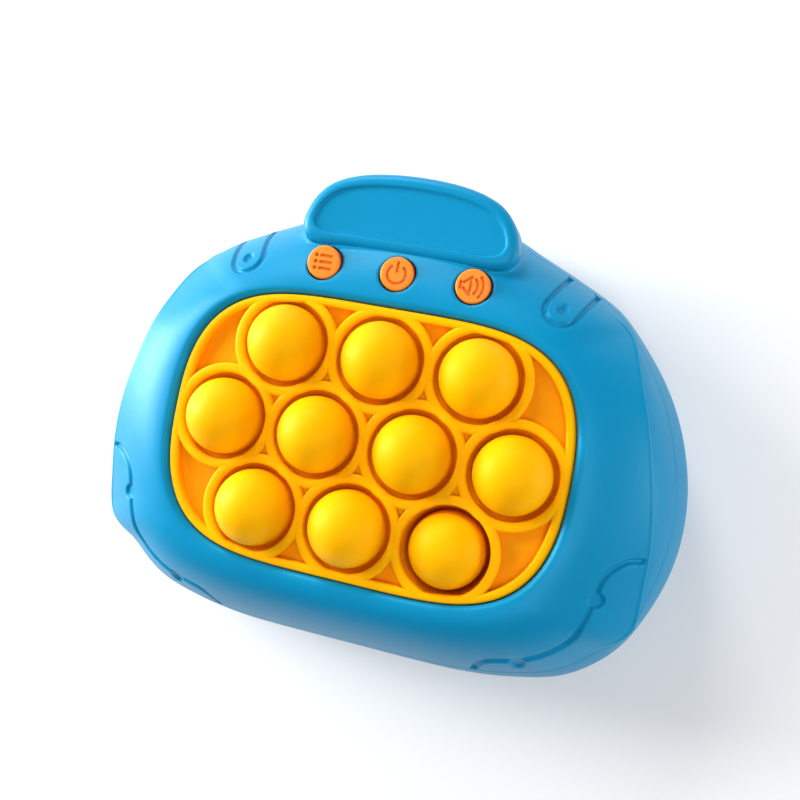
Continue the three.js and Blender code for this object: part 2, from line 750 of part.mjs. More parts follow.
// One bubble at the origin of its ring, its flange caught under the sheet
function bubble() {
  const centre = ringTop - bubbleSink;
  const inner = bubbleRadius - bubbleWall;
  const flange = bubbleRadius + bubbleFlangeWidth;
  const arcSteps = 4;
  const profile = [[0, centre + bubbleRadius]];
  for (let step = 1; step <= arcSteps; step++) {
    const turn = (step / arcSteps) * (Math.PI / 2);
    profile.push([bubbleRadius * Math.sin(turn), centre + bubbleRadius * Math.cos(turn)]);
  }
  const flangeUnder = frameLevel - bubbleFlangeThickness;
  profile.push([bubbleRadius, frameLevel], [flange, frameLevel], [flange, flangeUnder]);
  profile.push([inner, flangeUnder], [inner, centre]);
  profile.push([bubbleStemRadius, centre + Math.sqrt(inner ** 2 - bubbleStemRadius ** 2)]);
  profile.push([bubbleStemRadius, stemEnd], [0, stemEnd]);
  return turned(profile, bubbleSteps);
}

const bubblePlaces = rowCounts.flatMap((count, row) => Array.from({ length: count }, (_, column) => ({
  name: `${rowNames[row]}_${column + 1}`,
  x: (column - (count - 1) / 2) * bubblePitch,
  y: (1 - row) * rowPitch,
})));
const pressedBubble = `${rowNames[2]}_${rowCounts[2]}`;

function bubbleMat() {
  const outerReach = wider(windowReach, -rimInset);
  const inside = prism(flat(outerReach), sheetUnder, ringTop);
  const half = ringWidth / 2;
  const bead = turned([
    [ringInner, sheetTop - half], [ringInner + ringWidth, sheetTop - half],
    [ringInner + ringWidth, ringTop - half],
    [ringInner + half, ringTop], [ringInner, ringTop - half], [ringInner, sheetTop - half],
  ], ringSteps);
  const rim = skin([
    ring(outerReach, sheetUnder), ring(outerReach, ringTop - half), ring(wider(outerReach, -half), ringTop),
    ring(wider(outerReach, -rimWidth), ringTop - half), ring(wider(outerReach, -rimWidth), sheetUnder),
  ], true);
  let mat = prism(flat(wider(windowReach, sheetFlange)), sheetUnder, sheetTop).add(rim);
  for (const { x, y } of bubblePlaces) mat = mat.add(at(bead, x, y).intersect(inside));
  const hole = rod(bubbleRadius + bubbleGroove, sheetUnder - overrun, ringTop + overrun, ringSteps);
  for (const { x, y } of bubblePlaces) mat = mat.subtract(at(hole, x, y));
  return mat;
}

function matFrame() {
  let frame = prism(flat(wider(windowReach, frameMargin)), frameUnder, frameLevel);
  const holeRadius = bubbleRadius + bubbleFlangeWidth + looseFit;
  const hole = rod(holeRadius, frameUnder - overrun, frameLevel + overrun, bubbleSteps);
  for (const { x, y } of bubblePlaces) frame = frame.subtract(at(hole, x, y));
  for (const [, sideX, sideY] of corners) {
    const ear = rod(frameEarRadius, frameUnder, frameLevel - frameEarDrop);
    const holeTop = frameLevel + overrun;
    const screwHole = rod(smallScrew.shank + clearance, frameUnder - overrun, holeTop, screwSteps);
    const [x, y] = [sideX * frameScrewX, sideY * frameScrewY];
    frame = frame.add(at(ear, x, y)).subtract(at(screwHole, x, y));
    const leg = rod(legRadius, boardLevel + clearance, frameUnder + frameThickness / 2, screwSteps);
    frame = frame.add(at(leg, sideX * legX, sideY * legY));
  }
  for (const side of [-1, 1]) {
    const pilotTop = boardLevel + smallScrew.length;
    const pilot = rod(smallScrew.shank + clearance, boardLevel - overrun, pilotTop, screwSteps);
    frame = frame.subtract(at(pilot, side * legX, -side * legY));
  }
  return frame;
}

function bubbleBoard() {
  const low = boardLevel - boardThickness;
  const [halfX, halfY] = [windowHalfX + frameMargin - boardInset, windowHalfY + frameMargin - boardInset];
  let board = roundedPlate(halfX, halfY, boardCorner, low, boardLevel);
  for (const { x, y } of bubblePlaces) {
    board = board.add(box(
      x + lampOffset - lampSize / 2, x + lampOffset + lampSize / 2, y - lampSize / 2, y + lampSize / 2,
      low + boardThickness / 2, boardLevel + lampHeight,
    ));
  }
  for (const side of [-1, 1]) {
    const hole = rod(smallScrew.shank + clearance, low - overrun, boardLevel + overrun, screwSteps);
    board = board.subtract(at(hole, side * legX, -side * legY));
  }
  return board;
}

function bubbleSwitch() {
  const half = switchSize / 2;
  const button = rod(switchButtonRadius, 0, switchBody + switchButtonHeight, screwSteps);
  return box(-half, half, -half, half, 0, switchBody).add(button);
}

// A key cap with its flange under the shell and the stem that reaches the pad, its top at the origin
function keyCap() {
  const down = (level) => level - keyTop;
  return turned([
    [0, 0], [keyRadius - keyEdge, 0], [keyRadius - keyEdge * midRoundShare, -keyEdge * midRoundShare],
    [keyRadius, -keyEdge],
    [keyRadius, down(keyFlangeTop)], [keyRadius + keyFlangeWidth, down(keyFlangeTop)],
    [keyRadius + keyFlangeWidth, down(keyFlangeTop - keyFlangeThickness)],
    [keyStemRadius, down(keyFlangeTop - keyFlangeThickness)], [keyStemRadius, down(keyStemEnd)],
    [0, down(keyStemEnd)],
  ], keySteps);
}

function buttonPad() {
  const halfX = keySpacing + padOverhang;
  let pad = box(-halfX, halfX, keyY - padHalfWidth, keyY + padHalfWidth, padTop - padThickness, padTop);
  for (const column of [-1, 0, 1]) {
    const nub = rod(padNubRadius, padTop - padThickness / 2, padTop + padNubHeight);
    pad = pad.add(at(nub, column * keySpacing, keyY));
  }
  return pad;
}

function buttonBoard() {
  let board = box(
    -keyBoardHalfX, keyBoardHalfX, keyY - padHalfWidth, keyY + padHalfWidth,
    keyBoardLevel - boardThickness, keyBoardLevel,
  );
  for (const side of [-1, 1]) {
    const holeRadius = smallScrew.shank + clearance;
    const hole = rod(holeRadius, keyBoardLevel - overrun, keyBoardLevel + overrun, screwSteps);
    board = board.subtract(at(hole, side * keyBoardScrewX, keyY));
  }
  return board;
}

// Loudspeaker, facing down at the slots; its pieces start at the seat
function speakerFrame() {
  const [top, rim, inner] = [speakerDepth, speakerRadius, speakerRadius - speakerFlangeWidth];
  return turned([
    [rim, 0], [rim, speakerFlange], [inner, speakerFlange], [magnetRadius + coneWall, top],
    [magnetRadius / 2, top], [magnetRadius / 2, top - coneWall], [magnetRadius, top - coneWall],
    [inner - coneWall, speakerFlange / 2], [inner - coneWall, 0], [rim, 0],
  ], keySteps);
}

function speakerCone() {
  const outer = speakerRadius - speakerFlangeWidth - coneWall - clearance;
  const inner = magnetRadius / 2;
  const depth = speakerDepth - 2 * coneWall - clearance;
  return turned([
    [outer, 0], [outer, coneWall], [inner, depth], [0, depth], [0, depth - coneWall],
    [inner - coneWall, depth - coneWall], [outer - coneWall, 0], [outer, 0],
  ], keySteps);
}

function cell() {
  return turned([
    [0, 0], [cellRadius, 0], [cellRadius, cellLength], [cellNubRadius, cellLength],
    [cellNubRadius, cellLength + cellNubLength], [0, cellLength + cellNubLength],
  ], roundSteps);
}

// A contact plate at one end of the bay: side is the end, cells are the ones it touches, and springs those of
// them that it presses with a spring
function contact(side, cells, springs) {
  const outer = side * bayHalfX;
  const inner = side * (bayHalfX - plateThickness);
  const ys = cells.map((n) => bayY + ((cellCount - 1) / 2 - n) * cellPitch);
  let plate = box(
    Math.min(outer, inner), Math.max(outer, inner),
    Math.min(...ys) - plateHalfHeight, Math.max(...ys) + plateHalfHeight,
    cellLevel - plateHalfHeight, cellLevel + plateHalfHeight,
  );
  for (const n of springs) {
    const y = bayY + ((cellCount - 1) / 2 - n) * cellPitch;
    const spring = turned([
      [0, -plateThickness / 2], [springRadius, -plateThickness / 2], [springTipRadius, springLength],
      [0, springLength],
    ], roundSteps).rotate([0, side * -90, 0]).translate([inner, y, cellLevel]);
    plate = plate.add(spring);
  }
  return plate;
}

// The case
piece('front_shell', frontShell(), blue());
piece('rear_shell', rearShell(), blue());
for (const [name, x, y] of caseScrewPlaces) {
  piece(`case_screw_${name}`, screw(caseScrew), steel(), x, y, bossJoin - wellFloor - clearance);
}
piece('battery_door', batteryDoor(), blue());
piece('battery_door_screw', screw(doorScrew), steel(), doorScrewX, bayY, doorFace + doorScrew.headHeight);

// The sheet and its bubbles; the one at the bottom right is pushed in
piece('bubble_mat', bubbleMat(), yellow());
for (const { name, x, y } of bubblePlaces) {
  piece(`bubble_${name}`, bubble(), yellow(), x, y, name === pressedBubble ? -bubbleTravel : 0);
}
piece('mat_frame', matFrame(), white());
for (const [name, sideX, sideY] of corners) {
  const [x, y] = [sideX * frameScrewX, sideY * frameScrewY];
  piece(`mat_frame_screw_${name}`, screw(smallScrew), steel(), x, y, frameUnder - clearance);
}
piece('bubble_board', bubbleBoard(), green());
for (const { name, x, y } of bubblePlaces) {
  piece(`bubble_switch_${name}`, bubbleSwitch(), black(), x, y, boardLevel);
}
for (const [name, side] of [['left', -1], ['right', 1]]) {
  const low = boardLevel - boardThickness - clearance;
  piece(`bubble_board_screw_${name}`, screw(smallScrew), steel(), side * legX, -side * legY, low);
}

// The keys
for (const [name, column] of [['mode', -1], ['power', 0], ['sound', 1]]) {
  piece(`${name}_button`, keyCap(), orange(), column * keySpacing, keyY, keyTop);
}
piece('button_pad', buttonPad(), white());
piece('button_board', buttonBoard(), green());
for (const [name, side] of [['left', -1], ['right', 1]]) {
  const low = keyBoardLevel - boardThickness - clearance;
  piece(`button_board_screw_${name}`, screw(smallScrew), steel(), side * keyBoardScrewX, keyY, low);
}

// The loudspeaker
piece('speaker_frame', speakerFrame(), steel(), 0, speakerAboveCentre, speakerSeat);
piece('speaker_cone', speakerCone(), black(), 0, speakerAboveCentre, speakerSeat);
const magnetFoot = speakerSeat + speakerDepth + clearance;
piece('speaker_magnet', rod(magnetRadius, 0, magnetHeight), black(), 0, speakerAboveCentre, magnetFoot);

// The cells, which point by turns to the right and to the left, and their contacts
for (let n = 0; n < cellCount; n++) {
  const side = n % 2 === 0 ? 1 : -1;
  const tip = side * (bayHalfX - plateThickness - clearance);
  const y = bayY + ((cellCount - 1) / 2 - n) * cellPitch;
  const foot = tip - side * (cellLength + cellNubLength);
  const mesh = piece(`battery_${n + 1}`, cell(), black(), foot, y, cellLevel);
  mesh.rotation.y = side * (Math.PI / 2);
}
piece('contact_positive', contact(1, [0], []), steel());
piece('contact_bridge_right', contact(1, [1, 2], [1]), steel());
piece('contact_bridge_left', contact(-1, [0, 1], [0]), steel());
piece('contact_negative', contact(-1, [2], [2]), steel());

export default group;
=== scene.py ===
import json
import math
from itertools import combinations

import bmesh
import bpy
import numpy as np
from mathutils import Matrix, Vector


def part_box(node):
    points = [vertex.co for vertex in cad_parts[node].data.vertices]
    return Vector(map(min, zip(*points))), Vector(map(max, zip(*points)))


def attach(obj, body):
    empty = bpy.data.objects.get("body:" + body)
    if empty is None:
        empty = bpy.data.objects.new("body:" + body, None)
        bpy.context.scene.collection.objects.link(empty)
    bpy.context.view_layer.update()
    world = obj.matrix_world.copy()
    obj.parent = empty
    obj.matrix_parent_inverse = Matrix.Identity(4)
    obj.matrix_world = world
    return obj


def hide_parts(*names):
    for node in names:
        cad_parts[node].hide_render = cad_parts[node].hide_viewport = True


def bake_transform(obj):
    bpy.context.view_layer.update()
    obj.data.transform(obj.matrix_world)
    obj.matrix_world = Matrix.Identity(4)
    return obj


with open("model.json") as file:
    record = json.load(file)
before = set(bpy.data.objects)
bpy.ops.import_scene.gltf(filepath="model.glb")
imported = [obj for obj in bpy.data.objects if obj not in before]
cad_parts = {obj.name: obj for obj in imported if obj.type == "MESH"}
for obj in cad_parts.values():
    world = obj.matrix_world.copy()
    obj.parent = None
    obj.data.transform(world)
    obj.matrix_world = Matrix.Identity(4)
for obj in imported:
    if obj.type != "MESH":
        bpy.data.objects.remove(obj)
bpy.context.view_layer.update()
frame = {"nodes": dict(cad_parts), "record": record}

# Camera: it looks down on the face of the game from its upper right, with the game turned a little in the
# picture. The three directions and the distance are those at which the photograph was taken.
scene = bpy.context.scene
camera_place = Vector((0.067509, 0.004178, 0.292657))
camera_right = Vector((0.953769, 0.193515, -0.229949)).normalized()
camera_up = Vector((-0.186221, 0.981065, 0.053228)).normalized()
film_width = 36
focal_length = 43.3


def put_in_scene(name, data):
    """A new object for a mesh, curve, lamp or camera, linked into the scene."""
    made = bpy.data.objects.new(name, data)
    scene.collection.objects.link(made)
    return made


camera_data = bpy.data.cameras.new("camera")
camera_data.sensor_width = film_width
camera_data.lens = focal_length
camera = put_in_scene("camera", camera_data)
camera_turn = Matrix((camera_right, camera_up, camera_right.cross(camera_up))).transposed().to_4x4()
camera.matrix_world = Matrix.Translation(camera_place) @ camera_turn
scene.camera = camera

# Studio: a pale floor that the game lies on, a pale surround, a large soft lamp at the upper left and weaker
# ones at the other sides. Seen from below, the floor lets the view and the light of a lower lamp through.
scene.view_settings.view_transform = "Standard"
face_aim = (0, 0, 0.03)
lamps = (
    ("key_lamp", (-0.66, 0.25, 0.40), face_aim, 0.40, 4.6),
    ("low_lamp", (-0.80, 0.06, 0.19), face_aim, 0.28, 7.2),
    ("top_lamp", (-0.25, 0.68, 0.36), face_aim, 0.26, 3.0),
    ("side_lamp", (0.78, 0.02, 0.15), face_aim, 0.24, 2.1),
    ("front_lamp", (0.30, -0.16, 0.82), face_aim, 0.50, 3.0),
    ("under_lamp", (-0.25, -0.30, -0.65), (0, 0, 0), 0.60, 6.0),
)
for name, place, aim, width, power in lamps:
    lamp_data = bpy.data.lights.new(name, "AREA")
    lamp_data.shape = "DISK"
    lamp_data.size = width
    lamp_data.energy = power
    lamp = put_in_scene(name, lamp_data)
    lamp.location = place
    lamp.rotation_euler = (Vector(aim) - Vector(place)).to_track_quat("-Z", "Y").to_euler()


def node_tree(block):
    """The emptied node tree of a material or of the world."""
    block.use_nodes = True
    block.node_tree.nodes.clear()
    return block.node_tree


def set_sockets(node, **values):
    """Sets a node's sockets by their names, written with an underscore for each space."""
    for socket, value in values.items():
        node.inputs[socket.replace("_", " ")].default_value = value


def add_node(tree, kind, **values):
    """A new shader node of a kind, with some of its sockets set."""
    made = tree.nodes.new("ShaderNode" + kind)
    set_sockets(made, **values)
    return made


def wire(tree, *pairs):
    """Links each pair of an output and an input."""
    for source, target in pairs:
        tree.links.new(source, target)


def end_in_mix(tree, kind, share, first, second):
    """Ends a node tree in a mix of two shaders by a share."""
    mix = add_node(tree, "MixShader")
    output = add_node(tree, kind)
    wire(
        tree, (share, mix.inputs["Fac"]), (first.outputs[0], mix.inputs[1]), (second.outputs[0], mix.inputs[2]),
        (mix.outputs[0], output.inputs["Surface"]),
    )


def mesh_of(bm, name="part"):
    """The mesh of a bmesh, which is freed."""
    mesh = bpy.data.meshes.new(name)
    bm.to_mesh(mesh)
    bm.free()
    return mesh


scene.world = bpy.data.worlds.new("studio")
tree = node_tree(scene.world)
dim_light = add_node(tree, "Background", Color=(0.93, 0.96, 1.0, 1), Strength=0.31)
surround = add_node(tree, "Background", Strength=1.0)
end_in_mix(tree, "OutputWorld", add_node(tree, "LightPath").outputs["Is Camera Ray"], dim_light, surround)

floor_size = 6
floor_gap = 0.0004
floor_colour = (0.86, 0.87, 0.88, 1)
floor_bm = bmesh.new()
floor_place = Matrix.Translation((0, 0, -floor_gap))
bmesh.ops.create_grid(floor_bm, x_segments=1, y_segments=1, size=floor_size / 2, matrix=floor_place)
floor = put_in_scene("floor", mesh_of(floor_bm, "floor"))
floor_material = bpy.data.materials.new("floor")
tree = node_tree(floor_material)
upper_side = add_node(tree, "BsdfDiffuse", Color=floor_colour)
under_side = add_node(tree, "BsdfTransparent")
let_through = add_node(tree, "Math")
let_through.operation = "ADD"
let_through.use_clamp = True
wire(
    tree, (add_node(tree, "NewGeometry").outputs["Backfacing"], let_through.inputs[0]),
    (add_node(tree, "LightPath").outputs["Transparent Depth"], let_through.inputs[1]),
)
end_in_mix(tree, "OutputMaterial", let_through.outputs[0], upper_side, under_side)
floor.data.materials.append(floor_material)

# Case, front half: one blue moulding with a barrel-shaped window and a face that falls away from the window's
# round lip. Each side has an arched crease, from which the wall slants out to the widest section of the case.
# It carries grooves at the corners, three holes for the keys, and the crest above them.
rows = (("top", 3), ("middle", 4), ("bottom", 3))
bubble_names = [f"{row}_{n}" for row, count in rows for n in range(1, count + 1)]


def centre_of(node):
    """The middle of a CAD node's box."""
    return sum(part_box(node), Vector()) / 2


bubble_centres = {name: centre_of("bubble_" + name) for name in bubble_names}
field = sum(bubble_centres.values(), Vector()) / len(bubble_names)
mat_low, mat_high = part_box("bubble_mat")
front_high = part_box("front_shell")[1]
rear_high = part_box("rear_shell")[1]
case_wall = 0.0022
seam = 0.0003
joint_gap = 0.00008
joint_edge = 0.0002
lip_radius = 0.002
sheet_flange = 0.0026
ring_height = 0.003
frame_side = 0.022
frame_top = 0.0323
frame_bottom = 0.0204
grip_height = 0.0175
shoulder_drop = 0.0165
crease_drop = 0.0063
ring_top = mat_high.z
sheet_top = ring_top - ring_height
lip_top = front_high.z
front_foot = rear_high.z + joint_gap
direction_count = 384
angles = np.arange(direction_count) * (2 * math.pi / direction_count)
outline_steps = 12
window_powers = (4.3, 2.6)
# The right half of the face's outline, in shares of its half width and of its height above and below the centre
face_shares = [
    (0, 1), (0.31, 0.96), (0.5, 0.875), (0.66, 0.79), (0.755, 0.7), (0.818, 0.584), (0.866, 0.433),
    (0.909, 0.295), (0.945, 0.154), (0.977, 0), (0.996, -0.193), (1, -0.396), (0.995, -0.609),
    (0.955, -0.75), (0.84, -0.86), (0.68, -0.94), (0.48, -0.985), (0, -1),
]


def smooth_line(points, steps, closed=False):
    """A smooth line through points, with so many steps between two of them."""
    points = np.array(points, float)
    count = len(points)
    line = []
    for i in range(count if closed else count - 1):
        pick = [(i + k) % count if closed else min(max(i + k, 0), count - 1) for k in (-1, 0, 1, 2)]
        a, b, c, d = points[pick]
        before, span, after = [max(np.linalg.norm(q - p) ** 0.5, 1e-6) for p, q in ((a, b), (b, c), (c, d))]
        leave = ((b - a) / before - (c - a) / (before + span) + (c - b) / span) * span
        arrive = ((c - b) / span - (d - b) / (span + after) + (d - c) / after) * span
        for step in range(steps):
            t = step / steps
            bend = (3 * (c - b) - 2 * leave - arrive) * t ** 2 + (2 * (b - c) + leave + arrive) * t ** 3
            line.append(b + leave * t + bend)
    if not closed:
        line.append(points[-1])
    return np.array(line)


def reach_in_all_directions(line):
    """How far a closed line of points round the centre lies from it in each direction."""
    turn = np.arctan2(line[:, 1], line[:, 0]) % (2 * math.pi)
    return np.interp(angles, turn, np.hypot(line[:, 0], line[:, 1]), period=2 * math.pi)


def corner_reach(node, height):
    """A smooth outline through a CAD node's outer corners at one height, from the centre of the bubbles."""
    corner_turn, turn_slack, height_slack = 10, 0.05, 0.00002
    corners = {}
    for vertex in frame["nodes"][node].data.vertices:
        x, y = vertex.co.x, vertex.co.y - field.y
        turn = math.degrees(math.atan2(y, x))
        corner = corner_turn * round(turn / corner_turn)
        if abs(vertex.co.z - height) < height_slack and abs(turn - corner) < turn_slack:
            corner %= 360
            if corner not in corners or math.hypot(x, y) > math.hypot(*corners[corner]):
                corners[corner] = (x, y)
    line = smooth_line([corners[corner] for corner in sorted(corners)], outline_steps, closed=True)
    return reach_in_all_directions(line)


window_half_x = mat_high.x - sheet_flange
window_half_y = (mat_high.y - mat_low.y) / 2 - sheet_flange
near = np.zeros(direction_count)
far = np.full(direction_count, window_half_x + window_half_y)
for halving in range(50):
    middle = (near + far) / 2
    across = (middle * abs(np.cos(angles)) / window_half_x) ** window_powers[0]
    along = (middle * abs(np.sin(angles)) / window_half_y) ** window_powers[1]
    near = np.where(across + along < 1, middle, near)
    far = np.where(across + along < 1, far, middle)
window_reach = near
lip_reach = window_reach + lip_radius
face_half_x = window_half_x + frame_side
face_top_y = window_half_y + frame_top
face_bottom_y = window_half_y + frame_bottom
face_right = [(x * face_half_x, y * (face_top_y if y > 0 else face_bottom_y)) for x, y in face_shares]
face_line = smooth_line(face_right + [(-x, y) for x, y in face_right[-2:0:-1]], outline_steps, closed=True)
face_reach = reach_in_all_directions(face_line)
widest_reach = corner_reach("rear_shell", grip_height)
widest_reach *= rear_high.x / np.max(widest_reach * abs(np.cos(angles)))


def smoothstep(value, low, high):
    """A soft change from 0 at a low value to 1 at a high one."""
    share = np.clip((value - low) / (high - low), 0, 1)
    return share * share * (3 - 2 * share)


# The crease: where it fades in and out, is highest and ends, in degrees above the side. Its edge is a small
# round bead, given as steps out and down, and the wall starts in from it by crease_step.
turns = np.degrees(np.arctan2(np.sin(angles), abs(np.cos(angles))))
crease_fade_in = (-34, -22)
crease_fade_out = (31, 41)
crease_peak = 16
crease_low_end = -23
crease_high_end = 35
crease_step = 0.0023
crease_step_power = 7
crease_round = (
    (0.00025, 0.0001), (0.0005, 0.00026), (0.0007, 0.0005), (0.0008, 0.0008), (0.00076, 0.0011),
    (0.0005, 0.00135), (0.0001, 0.0015),
)
crease_room = 0.0001
round_powers = (np.where(turns > 0, 1.5, 2), np.where(turns > 0, 2, 1.15))
crease_powers = (1.5, 1)
side_powers = (1.15, 1.15)
side_share = smoothstep(turns, *crease_fade_in) * (1 - smoothstep(turns, *crease_fade_out))
crease_end = np.where(turns > crease_peak, crease_high_end, crease_low_end)
crease_sag = np.clip((turns - crease_peak) / (crease_end - crease_peak), 0, 1) ** 2
edge_level = ring_top - crease_drop - (shoulder_drop - crease_drop) * crease_sag


def fall(share, powers):
    """How far down a curve is for a share of its way out; the powers set how full it is."""
    return 1 - (1 - np.clip(share, 0, 1) ** powers[0]) ** (1 / powers[1])


def spread(share, powers):
    """How far out the same curve is for a share of its way down."""
    return (1 - np.clip(1 - share, 0, 1) ** powers[1]) ** (1 / powers[0])


def mixed(rounded, creased):
    """The round form of the top and bottom, and the creased one of the sides."""
    return rounded + (creased - rounded) * side_share


def round_reach(height, inset):
    """How far out the round form of the top and bottom is at a height."""
    top = lip_top - inset
    return lip_reach + (widest_reach - inset - lip_reach) * spread((top - height) / (top - grip_height), round_powers)


def side_reach(height, inset):
    """How far out the wall below the crease is at a height."""
    top = edge_level - inset
    down = (top - height) / (top - grip_height)
    slant = (widest_reach - face_reach) * spread(down, side_powers)
    return face_reach - inset + slant - crease_step * (1 - down) ** crease_step_power


def case_reach(height, inset):
    """How far out the case is at a height below the crease."""
    return mixed(round_reach(height, inset), side_reach(height, inset))


def direction_of(vertex):
    """The number of the direction in which a vertex lies from the centre of the bubbles."""
    turn = math.atan2(vertex.co.y - field.y, vertex.co.x)
    return round(turn / (2 * math.pi) * direction_count) % direction_count


def place_ring(vertices, reach, height):
    """Moves a ring of vertices out or in along their directions, and to its height."""
    for vertex in vertices:
        i = direction_of(vertex)
        vertex.co = (reach[i] * math.cos(angles[i]), field.y + reach[i] * math.sin(angles[i]), height[i])


def loft(rings, closed):
    """A skin drawn through rings, each a reach and a height for every direction."""
    bm = bmesh.new()
    bmesh.ops.create_circle(bm, segments=direction_count, radius=1)
    bmesh.ops.rotate(bm, verts=bm.verts, matrix=Matrix.Rotation(-math.pi / 2, 3, "Z"))
    bmesh.ops.translate(bm, verts=bm.verts, vec=(0, field.y, 0))
    edges = bm.edges[:]
    place_ring(bm.verts, *rings[0])
    for ring in rings[1:]:
        drawn = bmesh.ops.extrude_edge_only(bm, edges=edges)["geom"]
        edges = [e for e in drawn if isinstance(e, bmesh.types.BMEdge)]
        place_ring([v for v in drawn if isinstance(v, bmesh.types.BMVert)], *ring)
    if closed:
        bmesh.ops.remove_doubles(bm, verts=bm.verts, dist=1e-7)
    else:
        bmesh.ops.holes_fill(bm, edges=bm.edges)
    bmesh.ops.recalc_face_normals(bm, faces=bm.faces)
    return bm


def level(value):
    """One value for all directions."""
    return np.full(direction_count, value)


def lip_rings(steps):
    """The round lip from the window's wall up to the top of the face."""
    turned = [step / steps * math.pi / 2 for step in range(steps)]
    return [
        (window_reach + lip_radius * (1 - math.cos(t)), level(lip_top - lip_radius * (1 - math.sin(t)))) for t in turned
    ]


def shoulder(inset, steps, side_steps):
    """The face from the lip to the crease, the crease's round edge, and the side from there to the foot.

    All are drawn in by an inset, and the edge is only there without one."""
    top = lip_top - inset
    face_turn = math.radians(75)
    face, edge, side = [], [], []
    for step in range(steps + 1):
        share = math.sin(step / steps * math.pi / 2)
        height = front_foot + (top - front_foot) * math.cos(step / steps * face_turn)
        reach = mixed(round_reach(height, inset), lip_reach + (face_reach - inset - lip_reach) * share)
        face.append((reach, mixed(height, top - (lip_top - edge_level) * fall(share, crease_powers))))
    edge_drop = 0
    if not inset:
        edge_drop = crease_round[-1][1] + crease_room
        for out, down in crease_round:
            edge.append((mixed(round_reach(height - down, 0), face_reach + out), mixed(height, edge_level) - down))
    starts = (height - edge_drop, edge_level - inset - edge_drop)
    for step in range(1 if inset else 0, side_steps + 1):
        rounded, creased = [start + (front_foot - start) * step / side_steps for start in starts]
        side.append((mixed(round_reach(rounded, inset), side_reach(creased, inset)), mixed(rounded, creased)))
    return face, edge, side


def even_rings(rings, count):
    """The same skin with its rings evenly spaced in each direction, and its corners taken a little round."""
    reach, height = np.array(rings).transpose(1, 0, 2)
    even = np.empty((2, count + 1, direction_count))
    for i in range(direction_count):
        along = np.append(0, np.cumsum(np.hypot(np.diff(reach[:, i]), np.diff(height[:, i]))))
        place = np.linspace(0, along[-1], count + 1)
        even[:, :, i] = np.interp(place, along, reach[:, i]), np.interp(place, along, height[:, i])
    even[:, 1:-1] = (even[:, :-2] + 2 * even[:, 1:-1] + even[:, 2:]) / 4
    return [tuple(ring) for ring in even.transpose(1, 0, 2)]


face_rings, edge_rings, side_rings = shoulder(0, 60, 20)
outside = [(window_reach, level(sheet_top + seam))] + lip_rings(8)
outside += even_rings(face_rings, 36) + edge_rings + even_rings(side_rings, 20)[:-1]
outside += [(case_reach(front_foot + joint_edge, 0), level(front_foot + joint_edge))]
outside += [(case_reach(front_foot, 0) - joint_edge, level(front_foot))]
inner_face, _, inner_side = shoulder(case_wall, 10, 3)
inside = (inner_face + inner_side)[::-1] + [(lip_reach, level(sheet_top + seam)), outside[0]]
face_bm = loft(outside + inside, closed=True)
cloud_size = 0.03
gloss_spread = 0.12
sharp_turn = math.radians(32)


def finish(name, colour, roughness, metallic=0.0, grain_size=0.0012, uneven=0.04, bump=0.02):
    """A material whose colour varies softly over large patches, and its gloss and relief over small grains."""
    made = bpy.data.materials.new(name)
    tree = node_tree(made)
    shader = add_node(tree, "BsdfPrincipled", Metallic=metallic)
    output = add_node(tree, "OutputMaterial")
    place = add_node(tree, "TexCoord")
    cloud = add_node(tree, "TexNoise", Scale=1 / cloud_size, Detail=3)
    speck = add_node(tree, "TexNoise", Scale=1 / grain_size, Detail=2)
    tint = add_node(tree, "Mix")
    tint.data_type = "RGBA"
    tint.inputs[6].default_value = [c * (1 - uneven) for c in colour] + [1]
    tint.inputs[7].default_value = [min(1, c * (1 + uneven)) for c in colour] + [1]
    gloss = add_node(tree, "MapRange", To_Min=roughness * (1 - gloss_spread), To_Max=roughness * (1 + gloss_spread))
    relief = add_node(tree, "Bump", Strength=bump, Distance=grain_size)
    wire(
        tree,
        (shader.outputs["BSDF"], output.inputs["Surface"]),
        (place.outputs["Object"], cloud.inputs["Vector"]),
        (place.outputs["Object"], speck.inputs["Vector"]),
        (cloud.outputs["Fac"], tint.inputs["Factor"]),
        (tint.outputs[2], shader.inputs["Base Color"]),
        (speck.outputs["Fac"], gloss.inputs["Value"]),
        (gloss.outputs["Result"], shader.inputs["Roughness"]),
        (speck.outputs["Fac"], relief.inputs["Height"]),
        (relief.outputs["Normal"], shader.inputs["Normal"]),
    )
    return made


def shader_of(made):
    """The principled shader of a material."""
    return next(n for n in made.node_tree.nodes if n.type == "BSDF_PRINCIPLED")


case_blue = finish("case_blue", (0.0, 0.228, 0.44), 0.42)
set_sockets(shader_of(case_blue), Specular_IOR_Level=0.4, Specular_Tint=(0.3, 0.8, 1, 1))


def piece(name, mesh, material, body, nodes=()):
    """A finished mesh as a piece of the object, smooth but for its sharp edges."""
    mesh.name = name
    for polygon in mesh.polygons:
        polygon.use_smooth = True
    mesh.set_sharp_from_angle(angle=sharp_turn)
    mesh.materials.clear()
    mesh.materials.append(material)
    made = put_in_scene(name, mesh)
    if body:
        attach(made, body)
    if nodes:
        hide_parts(*nodes)
    return made


def mesh_as_seen(made):
    """The mesh of an object with its modifiers applied."""
    return bpy.data.meshes.new_from_object(made.evaluated_get(bpy.context.evaluated_depsgraph_get()))


def joined(mesh, others, operation="UNION"):
    """The mesh with the others added to it, cut from it or kept in common, as one mesh."""
    base = put_in_scene("base", mesh)
    helpers = [put_in_scene("helper", other) for other in others]
    for helper in helpers:
        change = base.modifiers.new("change", "BOOLEAN")
        change.operation = operation
        change.solver = "EXACT"
        change.object = helper
    result = mesh_as_seen(base)
    for helper in [base, *helpers]:
        bpy.data.objects.remove(helper)
    return result


